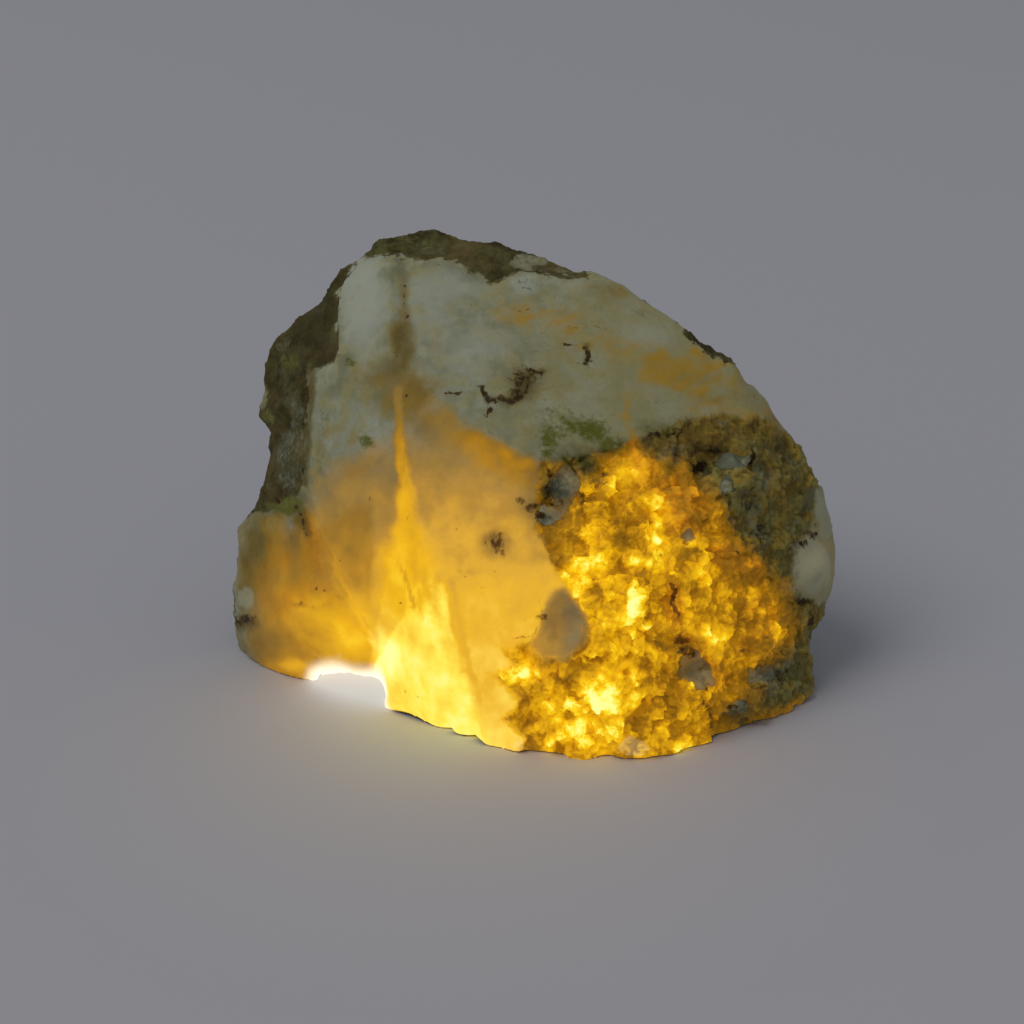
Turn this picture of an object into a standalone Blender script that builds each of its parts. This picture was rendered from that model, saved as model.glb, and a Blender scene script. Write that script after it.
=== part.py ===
"""Rough opal specimen: one broken lump of common opal with a crust of its host rock.

Metres, +Z up. The lump stands on a flat broken foot, its origin under the middle of its box.
Its broad face looks towards -Y and leans back. Corners on that side are given in millimetres as
(across, up, out): across is +X, up runs up the lean, and out stands square off the face.
Marks on the face are given flat, as (across, up) seen from VIEW_DISTANCE in front of its middle.
"""

import math
import random

import bmesh
import bpy
from mathutils import Euler, Matrix, Vector, noise
from mathutils.bvhtree import BVHTree

MM = 0.001

# Driving sizes, in millimetres.
LEAN = math.radians(24)
FACE_HEIGHT = 24.0
VIEW_DISTANCE = 300.0
FOOT_CUT = 1.5
BODY_VOXEL = 0.65
SKIN_VOXEL = 0.65
SKIN_RAISE = 0.25
CRUMB_COUNT = 240
CRUMB_RADIUS = (0.8, 1.9)
TRIANGLES = 10900
NOTCH_PLACE = (-17.6, 3.0, -1.2)
NOTCH_RADII = (4.8, 5.8, 5.6)

OPAL_COLOUR = (0.62, 0.47, 0.24, 1.0)

# The rim: the lump's outline as (across, up, out), clockwise from the peak.
RIM = [
    (-11.2, 34.4, -9), (-5.6, 33.3, -10), (1.0, 31.5, -9.5), (8.7, 28.7, -7),
    (13.0, 26.4, -5), (20.8, 20.4, -4), (25.9, 17.8, -5), (26.9, 14.5, -5),
    (32.8, 7.9, -7), (37.6, 2.5, -9), (38.8, -2.2, -11), (38.9, -6.7, -12),
    (37.5, -9.6, -12), (35.9, -20.0, -9), (-33.8, -16.5, -22), (-34.5, -12.0, -19),
    (-32.7, -4.6, -16), (-30.9, 1.1, -15), (-30.5, 11.1, -15), (-30.7, 15.2, -14),
    (-29.3, 20.1, -13), (-26.3, 23.0, -12), (-21.2, 28.2, -9), (-15.4, 33.5, -8),
]
# Where the facets of the broad face meet, as (across, up, out).
FACE = [
    (-14.8, 30.5, -3), (-4.9, 27.6, -3), (1.5, 26.8, -3.5), (8.6, 27.4, -4.5),
    (-19.8, 25.8, -5), (-20.0, 18.6, -2), (-24.0, 15.8, -6), (-24.5, 1.4, -5),
    (-12.6, 18.6, 1.5), (-12.7, 12.7, 4), (10.2, 21.0, -1), (3.7, 6.4, 8),
    (14.4, 8.1, 6.5), (28.7, 8.3, -1), (-7.0, -8.8, 7), (-13.4, -10.1, 2),
    (-1.4, -21.3, 5.5), (9.8, -15.4, 9.5), (21.3, -20.2, 4.5), (32.4, -10.2, -3),
    (21.2, -3.2, 6), (-25.1, -10.4, -8), (-19.9, -15.8, -9.5), (-21.3, -5.6, -5),
]
# The foot's outline on the surface it stands on, as (x, y).
FOOT = [
    (-33.7, 12.3), (-29.8, 7.3), (-22.9, 3.9), (-14.1, -0.7), (-7.9, -7.6), (0.7, -14.0),
    (15.7, -15.4), (18.0, -15.4), (22.7, -9.1), (34.5, -2.7), (35.8, 0.5), (34.0, 10.0),
    (27.0, 21.0), (10.0, 27.0), (-12.0, 26.0), (-26.0, 22.0),
]
# The back, as (x, y, z).
BACK = [
    (-13, 27, 45), (4, 28, 43), (18, 23, 35), (32, 18, 22), (-27, 24, 31), (-12, 34, 24),
    (10, 33, 27), (25, 29, 15), (-30, 25, 9), (-16, 31, 4), (6, 31, 3), (27, 25, 4),
]

# Marks on the broad face, flat as (across, up).
CRUMBLY = [
    (14.8, 8.3), (19.4, 9.7), (26.3, 10.0), (30.9, 8.3), (34.4, 3.7), (32.9, -0.9),
    (33.2, -8.0), (36.0, -14.8), (37.0, -24.0), (28.6, -28.0), (19.4, -32.0), (0.9, -32.0),
    (-0.2, -21.7), (-0.2, -15.9), (2.1, -14.8), (6.1, -9.0), (4.4, -5.5), (2.1, 0.2),
    (3.8, 6.0), (10.1, 6.6),
]
OPAL_FACE = [
    (-19.6, 26.4), (-15.8, 29.6), (-10.1, 28.8), (-7.8, 29.3), (-5.4, 27.8), (-2.0, 26.6),
    (1.6, 27.8), (8.6, 26.9), (12.0, 31.0), (24.0, 24.0), (33.0, 12.0), (30.9, 8.3),
    (26.3, 10.0), (19.4, 9.7), (14.8, 8.3), (10.1, 6.6), (3.8, 6.0), (2.1, 0.2),
    (4.4, -5.5), (-0.2, -18.0), (0.9, -32.0), (-18.0, -26.0), (-30.5, -22.0), (-31.0, -10.0),
    (-29.0, -1.5), (-24.4, 0.5), (-24.4, 4.0), (-23.4, 16.7), (-21.0, 16.9), (-20.1, 17.9),
    (-20.1, 25.2),
]
# Sunk panels, each with a sharp edge: (depth, ring of (across, up)).
SUNK = [
    (1.3, [(-19.6, 26.4), (-20.1, 25.2), (-20.1, 17.9), (-21.0, 16.9), (-22.6, 16.5),
           (-23.4, 16.7), (-23.2, 18.7), (-25.0, 20.5), (-34.0, 24.0), (-30.0, 34.0),
           (-17.5, 29.5)]),
    (0.8, [(-17.5, 29.5), (-15.8, 29.6), (-10.1, 28.8), (-7.8, 29.3), (-5.4, 27.8),
           (-2.0, 26.6), (1.6, 27.8), (8.6, 26.9), (14.0, 34.0), (0.0, 40.0), (-24.0, 38.0)]),
    (0.6, [(-23.4, 16.7), (-24.4, 4.0), (-24.4, 0.5), (-31.0, -0.5), (-38.0, 4.0),
           (-38.0, 19.0), (-25.0, 20.5)]),
]
# Lumps and hollows as (across, up, radius, height).
KNOBS = [
    (6.3, -13.0, 3.4, -1.9), (21.3, -17.9, 2.6, -2.8), (5.8, 1.7, 3.6, -1.6),
    (13.3, -15.7, 1.2, -1.4), (23.1, 5.4, 2.0, -1.6), (18.6, -9.6, 1.4, -1.2),
    (25.4, 3.9, 2.8, 1.2), (28.0, -21.8, 2.9, 1.4), (13.8, -26.6, 3.0, 1.2),
    (10.7, -21.7, 3.8, 1.4), (14.8, -10.7, 3.4, 1.1), (19.9, 0.8, 2.8, 1.0),
    (35.6, -6.5, 3.6, 0.7), (-24.6, -11.4, 6.0, 0.9), (-26.5, 12.0, 2.4, 1.0),
    (-25.0, 6.0, 2.2, 0.8), (-28.5, 1.6, 2.2, 0.7),
]
# Grooves as (width, depth, line of (across, up)).
GROOVES = [
    (1.7, 1.5, [(-24.4, 0.8), (-20.9, -7.8), (-16.4, -17.1), (-15.5, -21.0)]),
    (2.0, 0.7, [(-11.8, 29.1), (-12.3, 24.4), (-12.7, 18.7), (-13.2, 13.0)]),
    (0.9, 0.7, [(-24.1, 9.5), (-24.2, 5.0), (-23.8, 0.5)]),
]
# Broken edges as (drop, run, line): the skin right of the line sinks and comes back over the run.
LEDGES = [
    (0.8, 6.0, [(-16.4, -16.0), (-16.1, -7.8), (-14.9, -0.9), (-15.2, 5.2), (-17.5, 12.0)]),
    (0.9, 5.0, [(-7.4, -8.0), (-5.4, -14.8), (-3.1, -20.5), (-1.4, -28.0)][::-1]),
    (0.6, 3.0, [(-16.6, -17.5), (-14.4, -13.4), (-12.9, -8.2), (-11.5, -3.0)]),
    (0.5, 3.5, [(-15.6, 18.0), (-14.6, 24.4), (-14.9, 29.0)][::-1]),
    (0.5, 6.0, [(-11.9, 16.5), (-8.3, 12.9), (-1.4, 7.7), (3.8, 4.8)]),
    (0.5, 5.0, [(6.0, 20.0), (14.0, 17.4), (22.0, 15.4), (28.0, 13.0)]),
]
# Bites out of the rim and the foot, as (across, up, out, radius, depth).
BITES = [
    (-31.8, 6.4, -15, 6.0, 3.6), (-33.0, 1.0, -16, 4.0, 1.3), (37.0, -15.6, -10, 3.6, 2.2),
    (-22.0, -21.0, -14, 5.0, 1.6), (5.0, 29.0, -8, 4.0, 0.5), (27.6, 15.0, -5, 3.0, 0.5),
]


def face_to_world(across, up, out):
    """A place on the leaning face, in upright millimetres."""
    return Vector((
        across,
        up * math.sin(LEAN) - out * math.cos(LEAN),
        FACE_HEIGHT + up * math.cos(LEAN) + out * math.sin(LEAN),
    ))


def world_to_face(point):
    """(across, up, out) of an upright point, in millimetres."""
    rise = point.z - FACE_HEIGHT
    return Vector((
        point.x,
        point.y * math.sin(LEAN) + rise * math.cos(LEAN),
        rise * math.sin(LEAN) - point.y * math.cos(LEAN),
    ))


def seen_flat(place):
    """(across, up) of a face place as seen from VIEW_DISTANCE in front."""
    scale = VIEW_DISTANCE / (VIEW_DISTANCE - place.z)
    return Vector((place.x * scale, place.y * scale))


def smooth_step(low, high, value):
    share = min(max((value - low) / (high - low), 0.0), 1.0)
    return share * share * (3.0 - 2.0 * share)


def line_distance(spot, start, end):
    start = Vector(start)
    along = Vector(end) - start
    share = min(max((spot - start).dot(along) / along.length_squared, 0.0), 1.0)
    return (spot - start - along * share).length


def right_of(spot, start, end):
    """Whether a spot lies to the right of a stretch walked from start to end."""
    along = Vector(end) - Vector(start)
    return along.x * (spot.y - start[1]) - along.y * (spot.x - start[0]) < 0


def ledge_sink(spot, line, run):
    """Share of a ledge's drop at a spot: 1 just past the edge, 0 before it and past the run."""
    stretches = list(zip(line, line[1:]))
    reach, nearest = min((line_distance(spot, a, b), i) for i, (a, b) in enumerate(stretches))
    if not right_of(spot, *stretches[nearest]):
        return 0.0
    return smooth_step(0.0, 0.5, reach) * smooth_step(run, 0.5, reach)


def inside_depth(spot, ring):
    """How far inside a closed ring a spot lies, negative outside."""
    edges = list(zip(ring, ring[1:] + ring[:1]))
    nearest = min(line_distance(spot, a, b) for a, b in edges)
    inside = False
    for (ax, ay), (bx, by) in edges:
        if (ay > spot.y) != (by > spot.y):
            if spot.x < (bx - ax) * (spot.y - ay) / (by - ay) + ax:
                inside = not inside
    return nearest if inside else -nearest


def grain(point, size):
    """Smooth fractal noise of about -1 to 1 with lumps of the given size."""
    return noise.fractal(point / size, 0.9, 2.1, 3)


def chunks(point, size):
    """Rounded blocks: 0 in the cracks between them, up to 1 on their tops."""
    distances, places = noise.voronoi(point / size)
    block = smooth_step(0.0, 0.45, distances[1] - distances[0])
    return block * (0.55 + 0.45 * noise.cell(places[0] * 7.3))


def swelling(point, normal):
    """How far the skin stands out from the plain facets, in millimetres."""
    place = world_to_face(point)
    spot = seen_flat(place)
    front = normal.y * -math.cos(LEAN) + normal.z * math.sin(LEAN)
    facing = smooth_step(-0.05, 0.3, front)
    crumbly = smooth_step(-0.3, 1.0, inside_depth(spot, CRUMBLY)) * facing
    opal = smooth_step(-0.2, 0.5, inside_depth(spot, OPAL_FACE)) * facing * (1 - crumbly)
    rind = (1 - crumbly) * (1 - opal)

    height = SKIN_RAISE + 0.35 * grain(point, 14.0)
    height += rind * (0.35 * grain(point, 5.0) + 0.9 * chunks(point, 5.2) - 0.4)
    height += rind * 0.35 * grain(point, 1.9)
    height += smooth_step(0.1, -0.5, front) * (1.5 * chunks(point, 9.0) - 0.8)
    height += opal * (0.15 * grain(point, 6.0) + 0.05 * grain(point, 2.0))
    height += crumbly * (1.5 * chunks(point, 3.4) + 0.5 * grain(point, 1.6) - 1.0)

    for depth, ring in SUNK:
        height -= depth * facing * smooth_step(-0.2, 0.5, inside_depth(spot, ring))
    for across, up, radius, tall in KNOBS:
        reach = (spot - Vector((across, up))).length / radius
        if reach < 1.0 and front > -0.2:
            height += tall * smooth_step(1.0, 0.35, reach)
    for width, depth, line in GROOVES:
        reach = min(line_distance(spot, a, b) for a, b in zip(line, line[1:]))
        if front > 0.0:
            height -= depth * smooth_step(width, 0.0, reach)
    for drop, run, line in LEDGES:
        height -= drop * facing * ledge_sink(spot, line, run)
    for across, up, out, radius, depth in BITES:
        reach = (place - Vector((across, up, out))).length / radius
        height -= depth * smooth_step(1.0, 0.2, reach)
    return height


def add_object(name, mesh, collection):
    obj = bpy.data.objects.new(name, mesh)
    collection.objects.link(obj)
    return obj


def baked(obj):
    """The object's evaluated mesh, as a new mesh."""
    graph = bpy.context.evaluated_depsgraph_get()
    return bpy.data.meshes.new_from_object(obj.evaluated_get(graph))


def add_remesh(obj, voxel):
    remesh = obj.modifiers.new("Even faces", "REMESH")
    remesh.mode = "VOXEL"
    remesh.voxel_size = voxel * MM


def add_smooth(obj, factor, times):
    smooth = obj.modifiers.new("Soften", "SMOOTH")
    smooth.factor = factor
    smooth.iterations = times


def foot_notch(collection):
    """A rounded hollow under the face's lower edge, between the spur and the main foot."""
    shell = bmesh.new()
    place = Matrix.Translation(Vector(NOTCH_PLACE) * MM)
    size = Matrix.Diagonal((*[radius * MM for radius in NOTCH_RADII], 1))
    bmesh.ops.create_icosphere(shell, subdivisions=3, radius=1.0, matrix=place @ size)
    mesh = bpy.data.meshes.new("foot_notch")
    shell.to_mesh(mesh)
    shell.free()
    cutter = add_object("foot_notch", mesh, collection)
    cutter.hide_render = True
    cutter.display_type = "WIRE"
    return cutter


def plain_facets(collection, notch):
    """The lump's facets: the hull of its corners, less the hollow under its edge."""
    corners = [face_to_world(*c) for c in RIM + FACE]
    corners += [Vector((x, y, -FOOT_CUT)) for x, y in FOOT]
    corners += [Vector(c) for c in BACK]
    shell = bmesh.new()
    for corner in corners:
        shell.verts.new(corner * MM)
    hull = bmesh.ops.convex_hull(shell, input=shell.verts)
    inside = [v for v in hull["geom_interior"] if isinstance(v, bmesh.types.BMVert)]
    bmesh.ops.delete(shell, geom=inside, context="VERTS")
    bmesh.ops.recalc_face_normals(shell, faces=shell.faces)
    mesh = bpy.data.meshes.new("facets")
    shell.to_mesh(mesh)
    shell.free()
    obj = add_object("facets", mesh, collection)
    hollow = obj.modifiers.new("Foot notch", "BOOLEAN")
    hollow.operation = "DIFFERENCE"
    hollow.solver = "EXACT"
    hollow.object = notch
    add_remesh(obj, BODY_VOXEL)
    add_smooth(obj, 0.5, 2)
    return obj


def weathered(obj):
    """The facets with their lumps, hollows, grooves and bites."""
    mesh = baked(obj)
    normals = [v.normal.copy() for v in mesh.vertices]
    for vertex, normal in zip(mesh.vertices, normals):
        vertex.co += normal * swelling(vertex.co / MM, normal) * MM
    return mesh


def add_crumbs(shell, skin):
    """Angular crumbs of opal sunk into the crumbly part of the face."""
    pick = random.Random(7)
    tree = BVHTree.FromBMesh(skin)
    eye = face_to_world(0, 0, VIEW_DISTANCE) * MM
    low = [min(p[i] for p in CRUMBLY) for i in range(2)]
    high = [max(p[i] for p in CRUMBLY) for i in range(2)]
    placed = 0
    while placed < CRUMB_COUNT:
        spot = Vector((pick.uniform(low[0], high[0]), pick.uniform(low[1], high[1])))
        radius = pick.uniform(*CRUMB_RADIUS)
        sink = pick.uniform(0.15, 0.6)
        turn = Euler([pick.uniform(0, math.tau) for _ in range(3)]).to_matrix().to_4x4()
        stretch = Matrix.Diagonal((1, pick.uniform(0.65, 1), pick.uniform(0.55, 0.9), 1))
        if inside_depth(spot, CRUMBLY) < 0.4:
            continue
        placed += 1
        aim = face_to_world(spot.x, spot.y, 0) * MM - eye
        hit, normal, _, _ = tree.ray_cast(eye, aim.normalized())
        if hit is None:
            continue
        place = Matrix.Translation(hit - normal * radius * sink * MM)
        bmesh.ops.create_icosphere(
            shell, subdivisions=1, radius=radius * MM, matrix=place @ turn @ stretch)


def largest_body(mesh):
    """Keep the one biggest closed skin, dropping stray specks and trapped bubbles."""
    shell = bmesh.new()
    shell.from_mesh(mesh)
    left = set(shell.verts)
    bodies = []
    while left:
        body = {left.pop()}
        edge = list(body)
        while edge:
            near = {e.other_vert(v) for v in edge for e in v.link_edges} - body
            body |= near
            edge = list(near)
        left -= body
        bodies.append(body)
    bodies.sort(key=len, reverse=True)
    stray = [v for body in bodies[1:] for v in body]
    bmesh.ops.delete(shell, geom=stray, context="VERTS")
    shell.to_mesh(mesh)
    shell.free()


def crumbled(mesh, collection):
    """The weathered body with its crumbs, as one skin."""
    skin = bmesh.new()
    skin.from_mesh(mesh)
    shell = skin.copy()
    add_crumbs(shell, skin)
    shell.to_mesh(mesh)
    skin.free()
    shell.free()
    obj = add_object("crumbled", mesh, collection)
    add_remesh(obj, SKIN_VOXEL)
    add_smooth(obj, 0.4, 1)
    return obj


def cut_foot(obj, collection):
    """Saw the foot off flat at the surface the lump stands on."""
    shell = bmesh.new()
    box = Matrix.Translation((0, 0.01, -0.01)) @ Matrix.Diagonal((0.12, 0.12, 0.02, 1))
    bmesh.ops.create_cube(shell, size=1.0, matrix=box)
    mesh = bpy.data.meshes.new("below_foot")
    shell.to_mesh(mesh)
    shell.free()
    cutter = add_object("below_foot", mesh, collection)
    cutter.hide_render = True
    cutter.display_type = "WIRE"
    cut = obj.modifiers.new("Flat foot", "BOOLEAN")
    cut.operation = "DIFFERENCE"
    cut.solver = "EXACT"
    cut.object = cutter


def opal_material():
    material = bpy.data.materials.new("opal")
    material.use_nodes = True
    shader = material.node_tree.nodes["Principled BSDF"]
    shader.inputs["Base Color"].default_value = OPAL_COLOUR
    shader.inputs["Roughness"].default_value = 0.45
    shader.inputs["Metallic"].default_value = 0.0
    return material


def shared_middle(mesh):
    """The middle of the mesh's box in X and Y."""
    spots = [v.co for v in mesh.vertices]
    return Vector((
        (min(p.x for p in spots) + max(p.x for p in spots)) / 2,
        (min(p.y for p in spots) + max(p.y for p in spots)) / 2,
        0.0,
    ))


def main():
    for obj in list(bpy.data.objects):
        bpy.data.objects.remove(obj)
    specimen = bpy.data.collections.new("rough_opal_specimen")
    cutters = bpy.data.collections.new("cutters")
    bpy.context.scene.collection.children.link(specimen)
    bpy.context.scene.collection.children.link(cutters)

    facets = plain_facets(specimen, foot_notch(cutters))
    rough = crumbled(weathered(facets), specimen)
    skin = baked(rough)
    bpy.data.objects.remove(facets)
    bpy.data.objects.remove(rough)
    largest_body(skin)

    opal = add_object("rough_opal", skin, specimen)
    thin = opal.modifiers.new("Fewer faces", "DECIMATE")
    thin.ratio = TRIANGLES / (2 * len(skin.vertices))
    cut_foot(opal, cutters)
    standing = baked(opal)
    opal.data.transform(Matrix.Translation(-shared_middle(standing)))
    bpy.data.meshes.remove(standing)
    opal.data.materials.clear()
    opal.data.materials.append(opal_material())
    for face in opal.data.polygons:
        face.use_smooth = True


main()
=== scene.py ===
"""Rough opal specimen, dressed: milky and amber opal with a crumbly corner and an olive crust.

The solid's skin is remeshed fine, broken up into crumbs, chips and crust, and carries masks for
its minerals, for a painted glow of lamplight from below and for painted shade, as point attributes.
One material reads them. Marks on the broad face are laid out flat in millimetres, as (across, up)
seen from VIEW_DISTANCE in front of the leaning face.
"""
import math
import random

import bmesh
import bpy
import numpy as np
from mathutils import Euler, Matrix, Vector, noise
from mathutils.bvhtree import BVHTree


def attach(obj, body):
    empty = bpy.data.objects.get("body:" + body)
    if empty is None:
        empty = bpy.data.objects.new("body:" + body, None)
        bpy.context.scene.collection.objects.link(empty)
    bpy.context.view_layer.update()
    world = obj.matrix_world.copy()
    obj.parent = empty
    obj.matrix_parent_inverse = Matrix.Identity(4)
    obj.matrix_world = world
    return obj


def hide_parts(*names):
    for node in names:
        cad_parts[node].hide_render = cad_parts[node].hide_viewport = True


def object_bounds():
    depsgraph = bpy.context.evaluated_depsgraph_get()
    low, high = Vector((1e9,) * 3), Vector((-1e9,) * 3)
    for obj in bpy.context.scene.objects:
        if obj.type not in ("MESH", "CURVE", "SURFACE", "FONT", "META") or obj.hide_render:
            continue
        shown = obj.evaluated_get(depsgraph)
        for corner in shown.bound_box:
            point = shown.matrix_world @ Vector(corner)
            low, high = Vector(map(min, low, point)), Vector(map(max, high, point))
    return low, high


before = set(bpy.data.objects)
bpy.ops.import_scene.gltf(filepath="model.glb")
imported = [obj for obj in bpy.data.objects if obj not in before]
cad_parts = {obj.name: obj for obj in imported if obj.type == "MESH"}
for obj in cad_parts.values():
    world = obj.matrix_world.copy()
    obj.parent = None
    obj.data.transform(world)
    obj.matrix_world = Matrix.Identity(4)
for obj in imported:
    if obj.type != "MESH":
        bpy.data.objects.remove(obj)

MM = 0.001

# How the broad face leans, and where its middle sits over the specimen's origin.
LEAN = math.radians(24)
FACE_MIDDLE = np.array((-2.23, -8.76, 24.0))
VIEW_DISTANCE = 300.0
SENSOR_WIDTH = 36.0
LENS = 91.5
FACE_RISE = Vector((0, math.sin(LEAN), math.cos(LEAN)))
FACE_OUT = Vector((0, -math.cos(LEAN), math.sin(LEAN)))
NOTCH_MIDDLE = np.array((-19.8, -5.8, -1.2))

# The dressed skin.
FINE_VOXEL = 0.305
BACK_KEPT = 0.23
SMOOTH_KEPT = 0.36
CRUMB_COUNT = 900
CRUMB_RADIUS = (0.3, 0.95)
# How far relief may stand past the solid's box, and the depth of a place well outside a ring.
BOX_SLACK = 0.3
OUTSIDE = -4.0
FAR = 1e9
# How fast a soft oval patch fades outwards.
OVAL_FALL = 1.1

# Minerals, as linear colours.
MILK = (0.47, 0.49, 0.345)
CREAM = (0.50, 0.46, 0.21)
SEA_GREY = (0.32, 0.325, 0.18)
PURE_MILK = (0.59, 0.64, 0.52)
PALE_JADE = (0.53, 0.53, 0.33)
OCHRE = (0.41, 0.26, 0.032)
PEACH_BODY = (0.50, 0.30, 0.05)
HONEY_BODY = (0.44, 0.23, 0.008)
RUST = (0.66, 0.38, 0.022)
MOSS = (0.17, 0.18, 0.02)
CRUST_MOSS = (0.25, 0.26, 0.06)
BROWN = (0.15, 0.10, 0.025)
OLIVE_STAIN = (0.16, 0.125, 0.025)
UMBER = (0.05, 0.03, 0.009)
SLATE = (0.145, 0.175, 0.12)
SLATE_PALE = (0.37, 0.41, 0.27)
OLIVE_EARTH = (0.48, 0.33, 0.05)
GREEN_EARTH = (0.36, 0.34, 0.10)
CRUST_OLIVE = (0.15, 0.14, 0.045)
CRUST_DARK = (0.065, 0.052, 0.017)
CRUST_PALE = (0.36, 0.37, 0.19)
CRUST_OCHRE = (0.27, 0.20, 0.065)

# Painted glow standing in for lamplight from below, through clear and through milky opal, from
# faint to full.
CLEAR_GLOW = [
    (0.0, (0.0, 0.0, 0.0)), (0.29, (0.14, 0.062, 0.002)), (0.42, (0.28, 0.12, 0.001)),
    (0.54, (0.5, 0.25, 0.002)), (0.67, (0.72, 0.38, 0.002)), (0.75, (0.82, 0.52, 0.004)),
    (0.84, (0.85, 0.76, 0.05)), (1.0, (0.9, 0.98, 0.34)),
]
MILKY_GLOW = [
    (0.0, (0.0, 0.0, 0.0)), (0.17, (0.06, 0.04, 0.022)), (0.29, (0.15, 0.088, 0.024)),
    (0.42, (0.32, 0.16, 0.022)), (0.54, (0.57, 0.3, 0.02)), (0.67, (0.7, 0.38, 0.012)),
    (0.76, (0.82, 0.54, 0.055)), (0.86, (0.86, 0.76, 0.11)), (1.0, (0.9, 0.98, 0.34)),
]
EMBER = (0.13, 0.035, 0.001)
ORANGE_GLOW = [
    (0.0, (0.0, 0.0, 0.0)), (0.25, (0.09, 0.025, 0.001)), (0.45, (0.28, 0.085, 0.001)),
    (0.7, (0.62, 0.25, 0.002)), (1.0, (0.95, 0.6, 0.02)),
]
# Painted lamp glare round the notch by the foot, and the strongest painted glow.
WHITE_HOT = (1.05, 1.0, 0.86)
FULL_GLOW = 1.2

# Rings on the broad face.
CRUMBLY = [
    (3.5, 5.6), (7.0, 6.2), (10.1, 6.8), (12.5, 7.8), (14.8, 8.6), (18.0, 10.0), (22.0, 11.0),
    (26.0, 11.3), (29.0, 10.6), (33.0, 8.2), (38.0, 4.0), (35.2, 1.6), (34.6, -1.5), (33.2, -4.5),
    (32.2, -8.6), (33.0, -9.8), (40.0, -11.5), (40.0, -24.0), (28.6, -29.0), (19.4, -34.0),
    (-0.4, -34.0), (-0.4, -28.4), (1.8, -26.2), (-1.2, -24.0), (0.9, -21.6), (-2.2, -19.2),
    (0.3, -17.6), (-1.0, -15.9), (2.1, -14.8), (6.1, -9.0), (4.4, -5.5), (2.1, 0.2),
]
OLIVE_CORNER = [
    (13.6, 9.8), (13.9, 7.2), (16.0, 6.0), (17.8, 4.6), (19.6, 5.4), (21.6, 3.8), (23.2, 1.4),
    (24.8, -0.8), (26.0, -3.6), (28.2, -5.4), (31.6, -9.4), (32.8, -13.6), (30.6, -16.8),
    (27.2, -18.4), (25.4, -20.6), (24.4, -23.2), (26.5, -25.0), (33.0, -22.0), (42.0, -24.0),
    (42.0, 14.0), (14.0, 14.0),
]
TOP_BAND = [
    (-17.5, 29.6), (-15.8, 29.6), (-13.5, 29.6), (-10.1, 28.8), (-7.8, 29.3), (-5.8, 28.6),
    (-5.4, 27.8), (-3.6, 27.4), (-2.0, 26.6), (-0.3, 27.1), (1.6, 27.8), (4.7, 27.1), (8.6, 26.9),
    (10.0, 34.0), (0.0, 40.0), (-24.0, 40.0),
]
EDGE_BAND = [(19.4, 20.6), (21.4, 19.0), (23.6, 18.0), (25.2, 16.8), (28.0, 19.0), (22.0, 24.0)]
DARK_FACET = [
    (-19.6, 26.4), (-20.1, 25.2), (-20.1, 17.9), (-21.0, 16.9), (-22.6, 16.5), (-23.4, 16.7),
    (-23.2, 18.7), (-25.0, 20.5), (-34.0, 24.0), (-24.0, 38.0), (-15.4, 31.2), (-17.6, 29.4),
]
LEFT_RIM = [
    (-23.4, 16.7), (-23.6, 12.5), (-23.8, 10.0), (-24.1, 7.8), (-24.0, 4.0), (-24.5, 2.1),
    (-25.0, 0.7), (-27.5, 0.0), (-29.8, -3.0), (-31.4, -9.0), (-31.8, -14.0), (-40.0, -14.0),
    (-40.0, 22.0), (-26.6, 24.0), (-21.4, 19.4),
]
TENT = [
    (-12.8, 14.9), (-9.5, 12.4), (-6.7, 9.6), (-3.1, 7.6), (1.6, 5.0), (6.0, 3.0), (14.0, -2.0),
    (14.0, -34.0), (-16.0, -34.0), (-16.0, -12.0), (-13.5, -2.0), (-13.4, 8.0),
]
LEFT_LIT = [
    (-13.2, 13.0), (-6.0, 8.4), (0.0, 4.0), (0.0, -34.0), (-40.0, -34.0), (-40.0, -9.0),
    (-31.0, -4.0), (-28.0, -1.5), (-24.5, 1.0), (-22.8, 4.0), (-19.5, 7.5), (-16.0, 10.6),
]
SPUR = [
    (-25.5, 0.6), (-23.8, -0.9), (-22.7, -4.7), (-21.2, -7.7), (-18.9, -11.0), (-16.7, -14.0),
    (-16.1, -15.9), (-16.0, -24.0), (-42.0, -24.0), (-42.0, 2.0),
]
WEDGE = [
    (-12.5, -7.5), (-9.5, -6.9), (-7.1, -7.7), (-6.8, -10.7), (-6.0, -14.2), (-5.5, -16.7),
    (-4.6, -19.1), (-4.2, -21.7), (-2.9, -25.1), (-2.9, -34.0), (-15.9, -34.0), (-16.4, -17.8),
    (-15.2, -15.2), (-14.4, -13.4), (-13.1, -11.6),
]
FLAME = [
    (-10.6, -12.0), (-9.4, -9.4), (-8.2, -13.0), (-7.2, -17.0), (-6.0, -19.0), (-5.4, -23.0),
    (-4.4, -27.0), (-10.5, -27.0), (-12.0, -21.0), (-13.4, -17.6), (-12.2, -16.6),
]
SHADED_FACET = [
    (-24.0, -2.4), (-18.5, 0.4), (-16.1, 1.4), (-15.7, -5.5), (-15.9, -12.7), (-16.6, -16.2),
    (-20.4, -12.0), (-23.2, -8.0),
]
GREY_RECESS = [
    (4.4, -9.3), (5.4, -8.9), (6.8, -9.1), (8.0, -10.4), (8.9, -12.1), (8.2, -14.4), (7.5, -15.9),
    (6.1, -17.0), (3.8, -17.0), (2.0, -15.9), (1.9, -14.8), (2.8, -13.2), (3.6, -11.3),
]
DARK_PIT = [
    (19.2, -15.9), (21.3, -15.7), (23.1, -18.0), (23.6, -19.9), (21.7, -20.5), (19.7, -19.4),
]

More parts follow.
